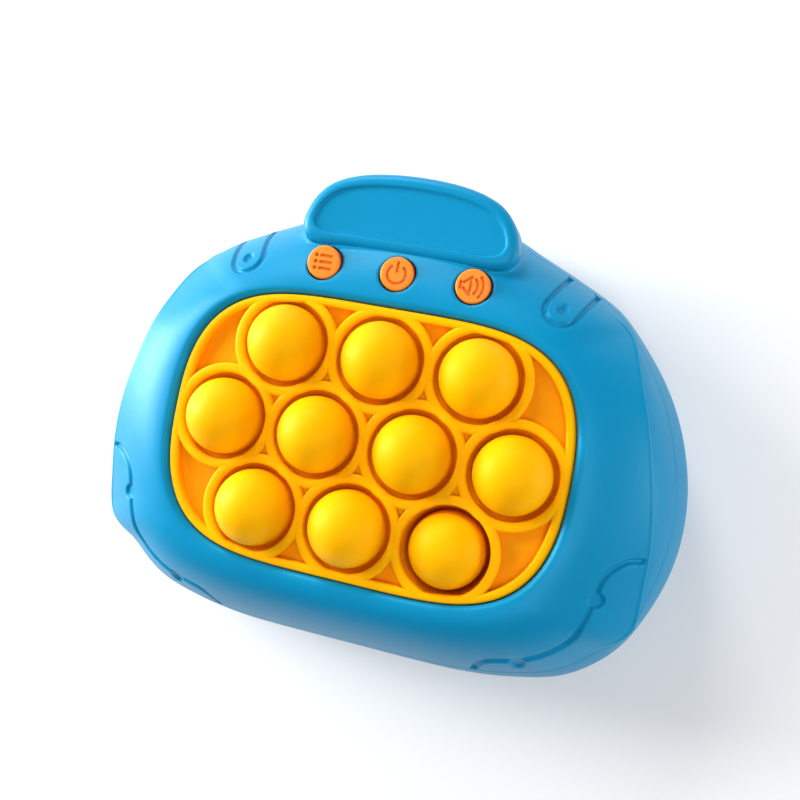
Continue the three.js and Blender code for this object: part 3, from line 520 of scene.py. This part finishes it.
# Grooves: shallow lines moulded in the face, one round each lower corner with two round bumps, and one round a
# lug with a dimple at each upper corner. The crest and keys are placed here too, as the face is finer there.
groove_width = 0.0016
groove_depth = 0.0009
bump_radius = 0.0021
lug_radius = 0.0046
lug_length = 0.018
lug_turn = math.radians(67)
dimple_radius = 0.0016
lug_place = Vector((0.0445, field.y + window_half_y + 0.0075))
groove_slope = (-0.0005, 0.0002)
groove_shares = [
    (0.988, -0.266), (0.944, -0.278), (0.899, -0.323), (0.87, -0.387), (0.858, -0.47), (0.842, -0.56),
    (0.809, -0.67), (0.745, -0.757), (0.656, -0.825), (0.53, -0.878), (0.497, -0.94), (0.48, -1.04),
]
bump_shares = [(0.866, -0.472), (0.645, -0.845)]
crest_half_width = 0.0304
crest_height = 0.022
crest_drop = 0.0032
crest_thickness = 0.013
crest_edge = 0.0026
crest_fillet = 0.0013
root_fillet = 0.0016
crest_top = ring_top - crest_drop
crest_shares = [
    (0, 1), (0.4, 0.962), (0.637, 0.883), (0.8, 0.77), (0.915, 0.6), (0.98, 0.4), (1, 0.22),
    (0.955, 0.07), (0.83, 0), (0.5, 0), (0, 0),
]
key_radius = 0.0047
key_gap = 0.0004
hole_edge = 0.0005
hole_edge_depth = 0.0003
key_names = ("mode_button", "power_button", "sound_button")
key_centres = {name: centre_of(name) for name in key_names}
far_away = 1.0


def distance_to(line, points):
    """The distance of each point to a line of points."""
    nearest = np.full(len(points), far_away)
    for start, end in zip(line[:-1], line[1:]):
        along = end - start
        share = np.clip((points - start) @ along / (along @ along), 0, 1)
        nearest = np.minimum(nearest, np.hypot(*(points - start - share[:, None] * along).T))
    return nearest


groove_lines = []
groove_dots = []
for side in (-1, 1):
    wander = [(side * x * face_half_x, field.y + y * face_bottom_y) for x, y in groove_shares]
    groove_lines.append(smooth_line(wander, 6))
    groove_dots += [(side * x * face_half_x, field.y + y * face_bottom_y, bump_radius) for x, y in bump_shares]
    out = np.array((side * math.cos(lug_turn), math.sin(lug_turn)))
    over = np.array((-out[1], out[0]))
    lug = np.array((side * lug_place.x, lug_place.y))
    lug_line = [lug + out * lug_length + over * lug_radius]
    for turn in np.linspace(0, math.pi, 13):
        lug_line.append(lug - out * lug_radius * math.sin(turn) + over * lug_radius * math.cos(turn))
    lug_line.append(lug + out * lug_length - over * lug_radius)
    groove_lines.append(np.array(lug_line))
    groove_dots.append((*lug, dimple_radius))
crest_foot = front_high.y - crest_height
crest_half = [(x * crest_half_width, crest_foot + y * crest_height) for x, y in crest_shares]
crest_line = smooth_line(crest_half + [(-x, y) for x, y in crest_half[-2:0:-1]], 5, closed=True)
crest_loop = np.vstack([crest_line, crest_line[:1]])


def groove_distance(points):
    """The distance of each point to the nearest groove's edge, negative inside a groove."""
    nearest = np.full(len(points), far_away)
    for line in groove_lines:
        nearest = np.minimum(nearest, distance_to(line, points) - groove_width / 2)
    for x, y, radius in groove_dots:
        nearest = np.minimum(nearest, np.hypot(points[:, 0] - x, points[:, 1] - y) - radius)
    return nearest


def hole_distance(points):
    """The distance of each point to the nearest key's hole, negative inside it."""
    return np.min([np.hypot(*(points - (c.x, c.y)).T) for c in key_centres.values()], axis=0) - key_radius - key_gap


def outer_face(bm):
    """The vertices of the outer face, outside the lip, and their places in the plan."""
    bm.normal_update()
    least_tilt, lip_share = 0.05, 0.995
    outer = []
    for vertex in bm.verts:
        reach = math.hypot(vertex.co.x, vertex.co.y - field.y)
        if vertex.normal.z > least_tilt and reach > lip_reach[direction_of(vertex)] * lip_share:
            outer.append(vertex)
    return outer, np.array([(v.co.x, v.co.y) for v in outer])


fine_band = 0.0012
for longest in (0.0008, 0.0004):
    watched, plan = outer_face(face_bm)
    close = np.minimum(groove_distance(plan), distance_to(crest_loop, plan) - fine_band)
    close = np.minimum(close, abs(hole_distance(plan)) - fine_band / 2) < fine_band
    near_detail = {v for v, hit in zip(watched, close) if hit}
    long_edges = [
        e for e in face_bm.edges
        if e.calc_length() > longest and e.verts[0] in near_detail and e.verts[1] in near_detail
    ]
    bmesh.ops.subdivide_edges(face_bm, edges=long_edges, cuts=1, use_grid_fill=True)

watched, plan = outer_face(face_bm)
heights = np.array([v.co.z for v in watched])
sunk = groove_depth * (1 - smoothstep(groove_distance(plan), *groove_slope))
sunk += hole_edge_depth * (1 - smoothstep(hole_distance(plan), 0, hole_edge)) ** 2
root_start = crest_half_width * 0.8
root_top = crest_top - crest_edge * 0.3
root = smoothstep(abs(plan[:, 0]), root_start, crest_half_width)
reach = crest_fillet + root_fillet * root
gap = np.clip(distance_to(crest_loop, plan), 0, reach)
raised = reach - np.sqrt(np.maximum(reach ** 2 - (reach - gap) ** 2, 0))
raised = np.minimum(raised, np.maximum(root_top - heights, 0))
for vertex, down, up in zip(watched, sunk, raised):
    vertex.co += Vector((0, 0, up)) - vertex.normal * down
bmesh.ops.recalc_face_normals(face_bm, faces=face_bm.faces)

# Crest: a thick plate that stands out of the top of the face and is moulded in one with it. It has a broad
# round edge and a bare, sunk panel with a soft wall.
panel_border = 0.0030
# The wall of the panel, as steps in from its border and down, in millimetres
panel_wall = ((0, 0), (0.12, 0.02), (0.26, 0.1), (0.38, 0.3), (0.46, 0.5), (0.56, 0.68), (0.7, 0.78), (0.9, 0.8))
edge_steps = 10
crest_profile = [(0, crest_top - crest_thickness), (0, crest_top - crest_edge)]
for step in range(1, edge_steps + 1):
    turn = step / edge_steps * math.pi / 2
    crest_profile.append((crest_edge * (1 - math.cos(turn)), crest_top - crest_edge * (1 - math.sin(turn))))
crest_profile += [(panel_border + out / 1000, crest_top - down / 1000) for out, down in panel_wall]
crest_bm = bmesh.new()
corners = [crest_bm.verts.new((x, y, crest_profile[0][1])) for x, y in crest_line]
edges = [crest_bm.edges.new(pair) for pair in zip(corners, corners[1:] + corners[:1])]
order = {vertex: k for k, vertex in enumerate(corners)}
for border, height in crest_profile[1:]:
    past = max(0, border - panel_border)
    across = 1 - border / crest_half_width
    low_border = border - past / 2
    along = 1 - (low_border + border + past) / crest_height
    source = {tuple(vertex.co): k for vertex, k in order.items()}
    drawn = bmesh.ops.extrude_edge_only(crest_bm, edges=edges)["geom"]
    edges = [e for e in drawn if isinstance(e, bmesh.types.BMEdge)]
    order = {v: source[tuple(v.co)] for v in drawn if isinstance(v, bmesh.types.BMVert)}
    for vertex, k in order.items():
        x, y = crest_line[k]
        vertex.co = (x * across, crest_foot + low_border + (y - crest_foot) * along, height)
bmesh.ops.holes_fill(crest_bm, edges=crest_bm.edges)
bmesh.ops.recalc_face_normals(crest_bm, faces=crest_bm.faces)


def rod_mesh(x, y, radius, low, high, segments=96):
    """A plain round bar, upright."""
    bm = bmesh.new()
    bmesh.ops.create_cone(
        bm, cap_ends=True, segments=segments, radius1=radius, radius2=radius, depth=high - low,
        matrix=Matrix.Translation((x, y, (low + high) / 2)),
    )
    return mesh_of(bm)


front_mesh = joined(mesh_of(face_bm), [mesh_of(crest_bm)])
holes = [rod_mesh(c.x, c.y, key_radius + key_gap, front_foot, lip_top + 0.01) for c in key_centres.values()]
front_mesh = joined(front_mesh, holes, "DIFFERENCE")
piece("case_front", front_mesh, case_blue, "case", ["front_shell"])

# Case, back half: a blue bowl with round grips, open at the doorway of the battery bay, at the slots in front
# of the loudspeaker and at the wells of the six screws. Inside stand the bay's box, the ledge that the door
# closes on and the speaker's seat.
back_round = 0.022


def bowl(inset, steps):
    """The outer form of the back half, drawn in by an inset; an inner form runs on past the rim."""
    rings = []
    flat_reach = widest_reach - back_round
    for step in range(steps + 1):
        turn = step / steps * math.pi / 2
        reach = flat_reach + (back_round - inset) * math.sin(turn)
        rings.append((reach, level(grip_height + (inset - grip_height) * math.cos(turn))))
    rim_steps = steps // 2
    rim = rear_high.z - (0 if inset else joint_edge)
    for step in range(1, rim_steps + 1):
        height = grip_height + (rim - grip_height) * step / rim_steps
        rings.append((case_reach(height, inset), level(height)))
    if inset:
        rings.append((case_reach(rim, inset), level(rim + case_wall)))
    else:
        rings.append((case_reach(rear_high.z, 0) - joint_edge, level(rear_high.z)))
    return mesh_of(loft(rings, closed=False))


def box_mesh(low, high, edge=0):
    """A block between two corners, with its edges taken round."""
    bm = bmesh.new()
    size = Vector(high) - Vector(low)
    middle = (Vector(high) + Vector(low)) / 2
    bmesh.ops.create_cube(bm, size=1, matrix=Matrix.Translation(middle) @ Matrix.Diagonal((*size, 1)))
    if edge:
        bmesh.ops.bevel(
            bm, geom=bm.edges[:], offset=edge, offset_type="OFFSET", segments=3, profile=0.5, affect="EDGES",
            material=-1,
        )
    return mesh_of(bm)


def turned_mesh(profile, x, y, steps=96):
    """A profile of radius and height points turned about an upright axis."""
    bm = bmesh.new()
    points = [bm.verts.new((radius, 0, height)) for radius, height in profile]
    for a, b in zip(points, points[1:] + points[:1]):
        if a.co.x > 1e-9 or b.co.x > 1e-9:
            bm.edges.new((a, b))
    bmesh.ops.spin(
        bm, geom=bm.verts[:] + bm.edges[:], cent=(0, 0, 0), axis=(0, 0, 1), angle=2 * math.pi, steps=steps,
        use_merge=True,
    )
    bmesh.ops.remove_doubles(bm, verts=bm.verts, dist=1e-6)
    bmesh.ops.recalc_face_normals(bm, faces=bm.faces)
    bmesh.ops.translate(bm, verts=bm.verts, vec=(x, y, 0))
    return mesh_of(bm)


def together(meshes):
    """Several meshes that stand clear of each other as one."""
    bm = bmesh.new()
    for mesh in meshes:
        bm.from_mesh(mesh)
    return mesh_of(bm)


overrun = 0.006
case_screws = ["case_screw_" + end for end in (
    "upper_left", "upper_right", "side_left", "side_right", "lower_left", "lower_right",
)]
well_radius = 0.0032
well_wall = 0.0017
boss_join = 0.018
well_floor = 0.002
screw_hole = 0.0016


def well_rods(radius, top, segments=48):
    """A round bar in each screw well, from below the case up to a level."""
    return [rod_mesh(*centre_of(name).xy, radius, -overrun, top, segments) for name in case_screws]


door_low, door_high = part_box("battery_door")
door_screw_low, door_screw_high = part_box("battery_door_screw")
door_screw = centre_of("battery_door_screw")
tab_reach = 0.0026
tab_width = 0.007
tab_spacing = 0.02
tab_thickness = 0.001
tab_room = 0.0005
ledge_thickness = 0.0013
pilot_radius = 0.0017
pilot_depth = 0.0039
pilot_wall = 0.0019
bay_wall = 0.0014
bay_room = 0.00035
bay_headroom = 0.0005
bay_low = Vector((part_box("contact_bridge_left")[0].x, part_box("battery_3")[0].y - bay_room, -overrun))
bay_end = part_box("battery_1")[1]
bay_high = Vector((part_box("contact_bridge_right")[1].x, bay_end.y + bay_room, bay_end.z + bay_headroom))
doorway_low = Vector((door_low.x + tab_reach - seam, door_low.y - seam, -overrun))
doorway_high = Vector((door_high.x + seam, door_high.y + seam, door_high.z + seam))
bay_y = (door_low.y + door_high.y) / 2
tab_places = [bay_y - tab_spacing / 2, bay_y + tab_spacing / 2]
speaker_low, speaker_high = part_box("speaker_frame")
speaker = centre_of("speaker_frame")
speaker_radius = speaker_high.x
speaker_flange = 0.0012
speaker_flange_width = 0.0026
slot_width = 0.0018
slot_pitch = 0.0042
slot_field_radius = 0.013
bay_walls = Vector((bay_wall, bay_wall, bay_wall))
door_walls = Vector((case_wall, case_wall, 0))
ledge_low = doorway_low - door_walls
ledge_high = doorway_high + door_walls
bay_block = box_mesh((*(bay_low - bay_walls).xy, case_wall * 0.9), bay_high + bay_walls)
ledge = box_mesh((*ledge_low.xy, case_wall / 2), (*ledge_high.xy, doorway_high.z + ledge_thickness))
pilot_top = doorway_high.z + pilot_depth
pilot_post = rod_mesh(door_screw.x, door_screw.y, pilot_radius + pilot_wall, case_wall * 0.8, pilot_top + pilot_wall)
collar = speaker_radius + seam
seat_inner = speaker_radius - speaker_flange_width
seat_top = speaker_low.z - seam
collar_top = speaker_low.z + speaker_flange
seat = turned_mesh([
    (seat_inner, case_wall / 2), (collar + bay_wall, case_wall / 2), (collar + bay_wall, collar_top),
    (collar, collar_top), (collar, seat_top), (seat_inner, seat_top),
], speaker.x, speaker.y)
wells = together(well_rods(well_radius + well_wall, boss_join))
wells = joined(wells, [bowl(case_wall / 2, 8)], "INTERSECT")
slots_half = int(slot_field_radius / slot_pitch)
slots = []
for slot in range(-slots_half, slots_half + 1):
    x = speaker.x + slot * slot_pitch
    half = math.sqrt(slot_field_radius ** 2 - (slot * slot_pitch) ** 2)
    slots.append(box_mesh(
        (x - slot_width / 2, speaker.y - half, -overrun), (x + slot_width / 2, speaker.y + half, case_wall + seam),
    ))
bores = well_rods(well_radius, boss_join - well_floor)
pilot = rod_mesh(door_screw.x, door_screw.y, pilot_radius, -overrun, pilot_top, 48)
first_cuts = together([box_mesh(bay_low, bay_high), pilot, *slots, *bores])
screw_holes = well_rods(screw_hole, boss_join + overrun, 24)
second_cuts = together([box_mesh(doorway_low, doorway_high), *screw_holes])
half_slot = tab_width / 2 + tab_room
tab_bed = door_high.z - tab_thickness - seam
third_cuts = together([
    box_mesh(
        (doorway_low.x - tab_reach - tab_room, y - half_slot, tab_bed),
        (doorway_low.x + tab_reach, y + half_slot, doorway_high.z + ledge_thickness + overrun),
    ) for y in tab_places
])
rear_mesh = joined(bowl(0, 16), [bowl(case_wall, 8)], "DIFFERENCE")
rear_mesh = joined(rear_mesh, [bay_block, ledge, pilot_post, seat, wells])
rear_mesh = joined(rear_mesh, [first_cuts, second_cuts, third_cuts], "DIFFERENCE")
piece("case_back", rear_mesh, case_blue, "case", ["rear_shell"])

# Battery door: a flat blue plate with a soft edge, two tabs that hook into the case at its left end, and a
# sunk hole for its one screw at the right.
door_edge = 0.0004
counterbore_depth = 0.0011
counterbore_radius = door_screw_high.x - door_screw.x + seam
plate_low = Vector((door_low.x + tab_reach, door_low.y, door_low.z))
door_mesh = box_mesh(plate_low, door_high, door_edge)
tabs = [
    box_mesh(
        (door_low.x, y - tab_width / 2, door_high.z - tab_thickness),
        (door_low.x + 2 * tab_reach, y + tab_width / 2, door_high.z), door_edge * 0.6,
    ) for y in tab_places
]
door_mesh = joined(door_mesh, tabs)
head_seat = door_screw_low.z + counterbore_depth
counterbore = turned_mesh([
    (0, -overrun), (counterbore_radius + door_edge, -overrun), (counterbore_radius + door_edge, door_low.z),
    (counterbore_radius, door_low.z + door_edge), (counterbore_radius, head_seat), (screw_hole, head_seat),
    (screw_hole, overrun), (0, overrun),
], door_screw.x, door_screw.y, 48)
door_mesh = joined(door_mesh, [counterbore], "DIFFERENCE")
piece("battery_cover", door_mesh, case_blue, "door", ["battery_door"])

# Silicone sheet: one soft yellow moulding with a round bead about each bubble, which neighbours share, and a
# round rim along the window.
silicone = finish("silicone", (1.0, 0.455, 0.0), 0.5, uneven=0.03, bump=0.01)
set_sockets(
    shader_of(silicone), Specular_IOR_Level=0.24, Specular_Tint=(1, 0.85, 0.15, 1), Subsurface_Weight=0.35,
    Subsurface_Radius=(1, 0.3, 0.05), Subsurface_Scale=0.0008,
)


def paint_shade_downward(made, shaded_colour, low, high):
    """Paints shade into a material's colour: from a high level down to a low one, the colour turns to a deep one."""
    tree = made.node_tree
    place = next(n for n in tree.nodes if n.type == "TEX_COORD")
    tint = next(n for n in tree.nodes if n.type == "MIX")
    split = add_node(tree, "SeparateXYZ")
    ramp = add_node(tree, "MapRange", From_Min=low, From_Max=high)
    shade = add_node(tree, "Mix")
    shade.data_type = "RGBA"
    shade.inputs[6].default_value = (*shaded_colour, 1)
    wire(
        tree,
        (place.outputs["Object"], split.inputs[0]),
        (split.outputs["Z"], ramp.inputs["Value"]),
        (ramp.outputs["Result"], shade.inputs["Factor"]),
        (tint.outputs[2], shade.inputs[7]),
        (shade.outputs[2], shader_of(made).inputs["Base Color"]),
    )


# Painted shade: below the tops of the rings the silicone turns deep orange, about half on the sheet between them and
# fully in the moats and at the feet of the domes.
paint_shade_downward(silicone, (0.88, 0.25, 0.004), sheet_top - 0.0016, ring_top - 0.0012)
ring_inner = 0.012
ring_width = 0.0027
rim_width = 0.0025
rim_inset = 0.0003
bead_corner = 0.0009
sheet_thickness = 0.002
hole_radius = 0.01195
web_radius = 0.0026
web_drop = 0.0021
web_root = 0.0011
overlap = 0.001
sheet_under = sheet_top - sheet_thickness
bead_foot = sheet_top - overlap


def arc(cx, cz, radius, start, end, steps):
    """Points of an arc, with angles in degrees from the first axis."""
    turns = [math.radians(start + (end - start) * step / steps) for step in range(steps + 1)]
    return [(cx + radius * math.cos(t), cz + radius * math.sin(t)) for t in turns]


def bead_line(width):
    """The section of a bead with a soft, nearly flat top, from its outer side over to the inner one."""
    line = arc(width / 2 - bead_corner, ring_top - bead_corner, bead_corner, 0, 75, 5)
    return line + [(0, ring_top)] + [(-x, z) for x, z in line[::-1]]


bead = [(ring_inner + ring_width / 2 + x, z) for x, z in bead_line(ring_width)]
bead += [(ring_inner, bead_foot), (ring_inner + ring_width, bead_foot)]
rim_reach = window_reach - rim_inset
rim_middle = rim_reach - rim_width / 2
rim_rings = [(rim_reach, level(bead_foot))]
rim_rings += [(rim_middle + x, level(z)) for x, z in bead_line(rim_width)]
rim_rings += [(rim_reach - rim_width, level(bead_foot)), rim_rings[0]]
sheet_rings = [(window_reach + sheet_flange, level(z)) for z in (sheet_under, sheet_top)]
within = [(rim_middle, level(z)) for z in (sheet_under - overlap, ring_top + overlap)]
beads = [turned_mesh(bead, c.x, c.y) for c in bubble_centres.values()]
neighbours = 1.2 * min((a - b).xy.length for a, b in combinations(bubble_centres.values(), 2))
webs = []
for three in combinations(bubble_centres.values(), 3):
    if all((a - b).xy.length < neighbours for a, b in combinations(three, 2)):
        x, y = (sum(three, Vector()) / 3).xy
        webs.append(rod_mesh(x, y, web_radius, sheet_top - web_root, ring_top - web_drop, 24))
bead_mesh = joined(beads[0], beads[1:] + [together(webs)])
bead_mesh = joined(bead_mesh, [mesh_of(loft(within, closed=False))], "INTERSECT")
mat_mesh = joined(mesh_of(loft(sheet_rings, closed=False)), [mesh_of(loft(rim_rings, closed=True)), bead_mesh])
mat_holes = [
    rod_mesh(c.x, c.y, hole_radius, sheet_under - overlap, sheet_top + overlap) for c in bubble_centres.values()
]
mat_mesh = joined(mat_mesh, mat_holes, "DIFFERENCE")
piece("bubble_sheet", mat_mesh, silicone, "case", ["bubble_mat"])

# Bubbles: hollow domes of the same silicone with a plunger inside. Each hangs in a thin skirt of the sheet,
# drawn lower under a bubble that is pushed in; the one at the lower right is pushed in.
bubble_radius = 0.0104
bubble_wall = 0.0014
flange_width = 0.0015
flange_thickness = 0.0013
stem_radius = 0.0022
stem_foot = 0.002
bubble_travel = 0.0043
skirt_outer = 0.0121
skirt_top = sheet_top - 0.0004
skirt_fall = 0.0012
skirt_wall = 0.0003
skirt_lap = 0.00005
skirt_steps = 12
for name, centre in bubble_centres.items():
    low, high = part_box("bubble_" + name)
    middle = high.z - bubble_radius
    inner = bubble_radius - bubble_wall
    flange_top = low.z + flange_thickness
    profile = arc(0, middle, bubble_radius, 90, 0, 24)
    profile += [(bubble_radius, flange_top), (bubble_radius + flange_width, flange_top)]
    profile += [(bubble_radius + flange_width, low.z), (inner, low.z)]
    profile += arc(0, middle, inner, 0, 75, 10)
    profile += [(stem_radius, low.z + stem_foot), (0, low.z + stem_foot)]
    mesh = turned_mesh(profile, centre.x, centre.y)
    body = f"bubble_{name}_body"
    piece("bubble_dome_" + name, mesh, silicone, body, ["bubble_" + name])
    drop = skirt_fall + (bubble_travel if middle < sheet_top else 0)
    upper, under = [], []
    for step in range(skirt_steps + 1):
        share = step / skirt_steps
        radius = skirt_outer + (bubble_radius - skirt_lap - skirt_outer) * share
        height = skirt_top - drop * share * share * (3 - 2 * share)
        upper.append((radius, height))
        under.append((radius, height - skirt_wall))
    mesh = turned_mesh(upper + under[::-1], centre.x, centre.y)
    skirt = piece("bubble_skirt_" + name, mesh, silicone, None)
    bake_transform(skirt)

# Keys: three orange plastic caps with a round edge. Each has its sign pressed into the top: a list, a power
# sign and a loudspeaker.
key_orange = finish("key_orange", (0.94, 0.235, 0.014), 0.44, uneven=0.03)
set_sockets(shader_of(key_orange), Specular_IOR_Level=0.34)
key_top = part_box("mode_button")[1].z
# Painted shade: the orange turns deep in the pressed signs and down the round edge and side of each cap.
paint_shade_downward(key_orange, (0.45, 0.04, 0.004), key_top - 0.0008, key_top - 0.0001)
key_edge = 0.0007
cap_foot = 0.004
sign_stroke = 0.00047
sign_dot = sign_stroke * 1.25
sign_sunk = 0.00001


def tube_meshes(line, radius):
    """A round bar along a line of points, and the balls at its ends."""
    balls = bmesh.new()
    for point in (line[0], line[-1]):
        bmesh.ops.create_uvsphere(balls, u_segments=12, v_segments=8, radius=radius, matrix=Matrix.Translation(point))
    curve = bpy.data.curves.new("line", "CURVE")
    curve.dimensions = "3D"
    curve.bevel_depth = radius
    curve.bevel_resolution = 2
    curve.use_fill_caps = True
    spline = curve.splines.new("POLY")
    spline.points.add(len(line) - 1)
    for point, where in zip(spline.points, line):
        point.co = (*where, 1)
    holder = put_in_scene("line", curve)
    tube = mesh_as_seen(holder)
    bpy.data.objects.remove(holder)
    return [mesh_of(balls), tube]


# The signs, as strokes and dots in millimetres from the key's centre
list_sign = [[(-0.9, y), (2.2, y)] for y in (-1.75, 0, 1.75)]
list_dots = [(-2.25, y) for y in (-1.75, 0, 1.75)]
power_sign = [arc(0, -0.1, 2.55, 132, 408, 28), [(0, 0.7), (0, 3.0)]]
speaker_sign = [
    [(-3.2, 0.85), (-3.2, -0.85)], [(-2.35, 0.8), (-0.5, 2.3)], [(-2.35, -0.8), (-0.5, -2.3)],
    [(-0.5, 1.9), (-0.5, -1.9)], arc(-1.3, 0, 2.7, -42, 42, 16), arc(-1.3, 0, 4.2, -38, 38, 16),
]
signs = {"mode_button": (list_sign, list_dots), "power_button": (power_sign, []), "sound_button": (speaker_sign, [])}
for name, centre in key_centres.items():
    low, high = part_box(name)
    profile = [(0, high.z)] + arc(key_radius - key_edge, high.z - key_edge, key_edge, 90, 0, 8)
    profile += [(key_radius, low.z + cap_foot), (0, low.z + cap_foot)]
    strokes, dots = signs[name]
    sunk_to = high.z - sign_sunk
    cutters = []
    for stroke in strokes:
        cutters += tube_meshes([(centre.x + x / 1000, centre.y + y / 1000, sunk_to) for x, y in stroke], sign_stroke)
    for x, y in dots:
        bm = bmesh.new()
        spot = Matrix.Translation((centre.x + x / 1000, centre.y + y / 1000, sunk_to))
        bmesh.ops.create_uvsphere(bm, u_segments=16, v_segments=10, radius=sign_dot, matrix=spot)
        cutters.append(mesh_of(bm))
    mesh = joined(turned_mesh(profile, centre.x, centre.y), cutters, "DIFFERENCE")
    piece(name + "_cap", mesh, key_orange, name + "_body", [name])

# Screws: steel, with a round head and a cross recess. Six close the case from the back, one holds the door,
# and eight small ones hold the frame and the boards.
screw_steel = finish("screw_steel", (0.60, 0.61, 0.63), 0.28, metallic=1, grain_size=0.0004)
# The height of the head and the radius of the thread
screw_kinds = {"case_screw": (0.0024, 0.0013), "battery_door_screw": (0.0008, 0.0012)}
small_screw = (0.0014, 0.0009)
head_shares = ((0, 0), (0.55, 0), (0.82, 0.12), (0.96, 0.38), (1, 0.7), (1, 1))
thread_pitch = 0.0008
thread_root = 0.8
recess_width = 0.34
recess_length = 0.62
for name in sorted(name for name in frame["nodes"] if "screw" in name):
    low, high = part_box(name)
    centre = centre_of(name)
    head = high.x - centre.x
    head_height, shank = next((size for kind, size in screw_kinds.items() if name.startswith(kind)), small_screw)
    profile = [(head * out, low.z + head_height * up) for out, up in head_shares]
    height = low.z + head_height
    core = shank * thread_root
    profile += [(core, height)]
    height += thread_pitch
    while height < high.z - 1.5 * shank:
        profile += [(core, height), (shank, height + thread_pitch / 2), (core, height + thread_pitch)]
        height += thread_pitch
    profile += [(core, high.z - 1.2 * shank), (0, high.z)]
    depth = low.z + min(head_height * 0.6, 0.001)
    arms = [(head * recess_length, head * recess_width / 2), (head * recess_width / 2, head * recess_length)]
    cross = [
        box_mesh((centre.x - x, centre.y - y, low.z - overrun), (centre.x + x, centre.y + y, depth)) for x, y in arms
    ]
    mesh = joined(turned_mesh(profile, centre.x, centre.y, 32), cross, "DIFFERENCE")
    body = "door" if name == "battery_door_screw" else "case"
    piece(name + "_turned", mesh, screw_steel, body, [name])

# Cells: three steel cylinders in black sleeves, with their ends bare, and bent nickel plates and coil springs
# that touch them at both ends of the bay.
cell_sleeve = finish("cell_sleeve", (0.025, 0.027, 0.032), 0.30, grain_size=0.0006)
contact_nickel = finish("contact_nickel", (0.70, 0.68, 0.62), 0.24, metallic=1, grain_size=0.0004)
sleeve_lap = 0.0012
nub_height = 0.0008
nub_radius = 0.0019
nub_gap = 0.0004
nub_taper = 0.0002
roll = 0.0006
end_sunk = 0.0003
roll_turns = (0, 0.4, 0.8, 1.2, math.pi / 2)
cells = {}
for n, side in ((1, 1), (2, -1), (3, 1)):
    node = f"battery_{n}"
    low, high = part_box(node)
    centre = cells[n] = centre_of(node)
    radius = (high.z - low.z) / 2
    length = high.x - low.x - nub_height
    profile = [(0, end_sunk), (radius - 2 * roll, end_sunk), (radius - 1.6 * roll, 0)]
    profile += [(radius - roll + roll * math.sin(t), roll - roll * math.cos(t)) for t in roll_turns]
    profile += [(radius, sleeve_lap), (radius, length - roll)]
    profile += [(radius - roll + roll * math.cos(t), length - roll + roll * math.sin(t)) for t in roll_turns[1:]]
    profile += [(radius - 1.6 * roll, length), (radius - 2 * roll, length - end_sunk)]
    profile += [(nub_radius + nub_gap, length - end_sunk), (nub_radius, length)]
    profile += [(nub_radius - nub_taper, length + nub_height), (0, length + nub_height)]
    mesh = turned_mesh(profile, 0, 0, 48)
    foot = low.x if side > 0 else high.x
    mesh.transform(Matrix.Translation((foot, centre.y, centre.z)) @ Matrix.Rotation(side * math.pi / 2, 4, "Y"))
    piece(f"cell_{n}", mesh, cell_sleeve, "case", [node])
    mesh.materials.append(contact_nickel)
    for polygon in mesh.polygons:
        away = np.hypot(polygon.center.y - centre.y, polygon.center.z - centre.z)
        polygon.material_index = 1 if away < radius - 1.2 * roll else 0
plate_thickness = 0.0005
plate_edge = 0.00018
spring_radius = 0.0023
spring_wire = 0.0003
spring_turns = 4
steps_per_turn = 20
contacts = (
    ("contact_positive", 1, None), ("contact_bridge_right", 1, 2), ("contact_bridge_left", -1, 1),
    ("contact_negative", -1, 3),
)
for name, side, spring_cell in contacts:
    low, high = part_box(name)
    if side > 0:
        root_x, tip_x = high.x - plate_thickness, low.x
        parts = [box_mesh((root_x, low.y, low.z), high, plate_edge)]
    else:
        root_x, tip_x = low.x + plate_thickness, high.x
        parts = [box_mesh(low, (root_x, high.y, high.z), plate_edge)]
    if spring_cell:
        y, z = cells[spring_cell].yz
        steps = spring_turns * steps_per_turn
        wire_start = Matrix.Translation((root_x - side * spring_wire, y, z + spring_radius))
        bm = bmesh.new()
        bmesh.ops.create_circle(bm, segments=8, radius=spring_wire)
        bmesh.ops.transform(bm, matrix=wire_start @ Matrix.Rotation(math.pi / 2, 4, "X"), verts=bm.verts)
        run = tip_x - root_x + side * 2 * spring_wire
        bmesh.ops.spin(
            bm, geom=bm.verts[:] + bm.edges[:], cent=(root_x, y, z), axis=(1, 0, 0), angle=2 * math.pi * spring_turns,
            dvec=(run / steps, 0, 0), steps=steps, use_merge=False,
        )
        bmesh.ops.holes_fill(bm, edges=bm.edges)
        bmesh.ops.recalc_face_normals(bm, faces=bm.faces)
        parts.append(mesh_of(bm))
    piece(name + "_plate", together(parts), contact_nickel, "case", [name])

# Inside the case: the frame under the sheet, the boards and switches, the key pad and the loudspeaker keep the
# shape of their construction. Each gets its own plain finish of plastic, silicone, board or metal.
finishes = {
    "case_blue": case_blue,
    "silicone_yellow": silicone,
    "key_orange": key_orange,
    "frame_white": finish("frame_white", (0.8, 0.8, 0.77), 0.5),
    "pad_silicone": finish("pad_silicone", (0.62, 0.62, 0.6), 0.6),
    "board_green": finish("board_green", (0.02, 0.16, 0.06), 0.35),
    "switch_black": finish("switch_black", (0.02, 0.02, 0.02), 0.45),
    "screw_steel": screw_steel,
    "speaker_steel": finish("speaker_steel", (0.5, 0.5, 0.52), 0.4, metallic=1),
    "cone_black": finish("cone_black", (0.015, 0.015, 0.015), 0.8),
    "magnet_iron": finish("magnet_iron", (0.1, 0.1, 0.11), 0.55, metallic=0.6),
    "cell_sleeve": cell_sleeve,
    "contact_nickel": contact_nickel,
}
slots = {part["node"]: part["material_slot"] for part in frame["record"]["subparts"]}
for name, node in frame["nodes"].items():
    node.data.materials.clear()
    node.data.materials.append(finishes[slots[name]])
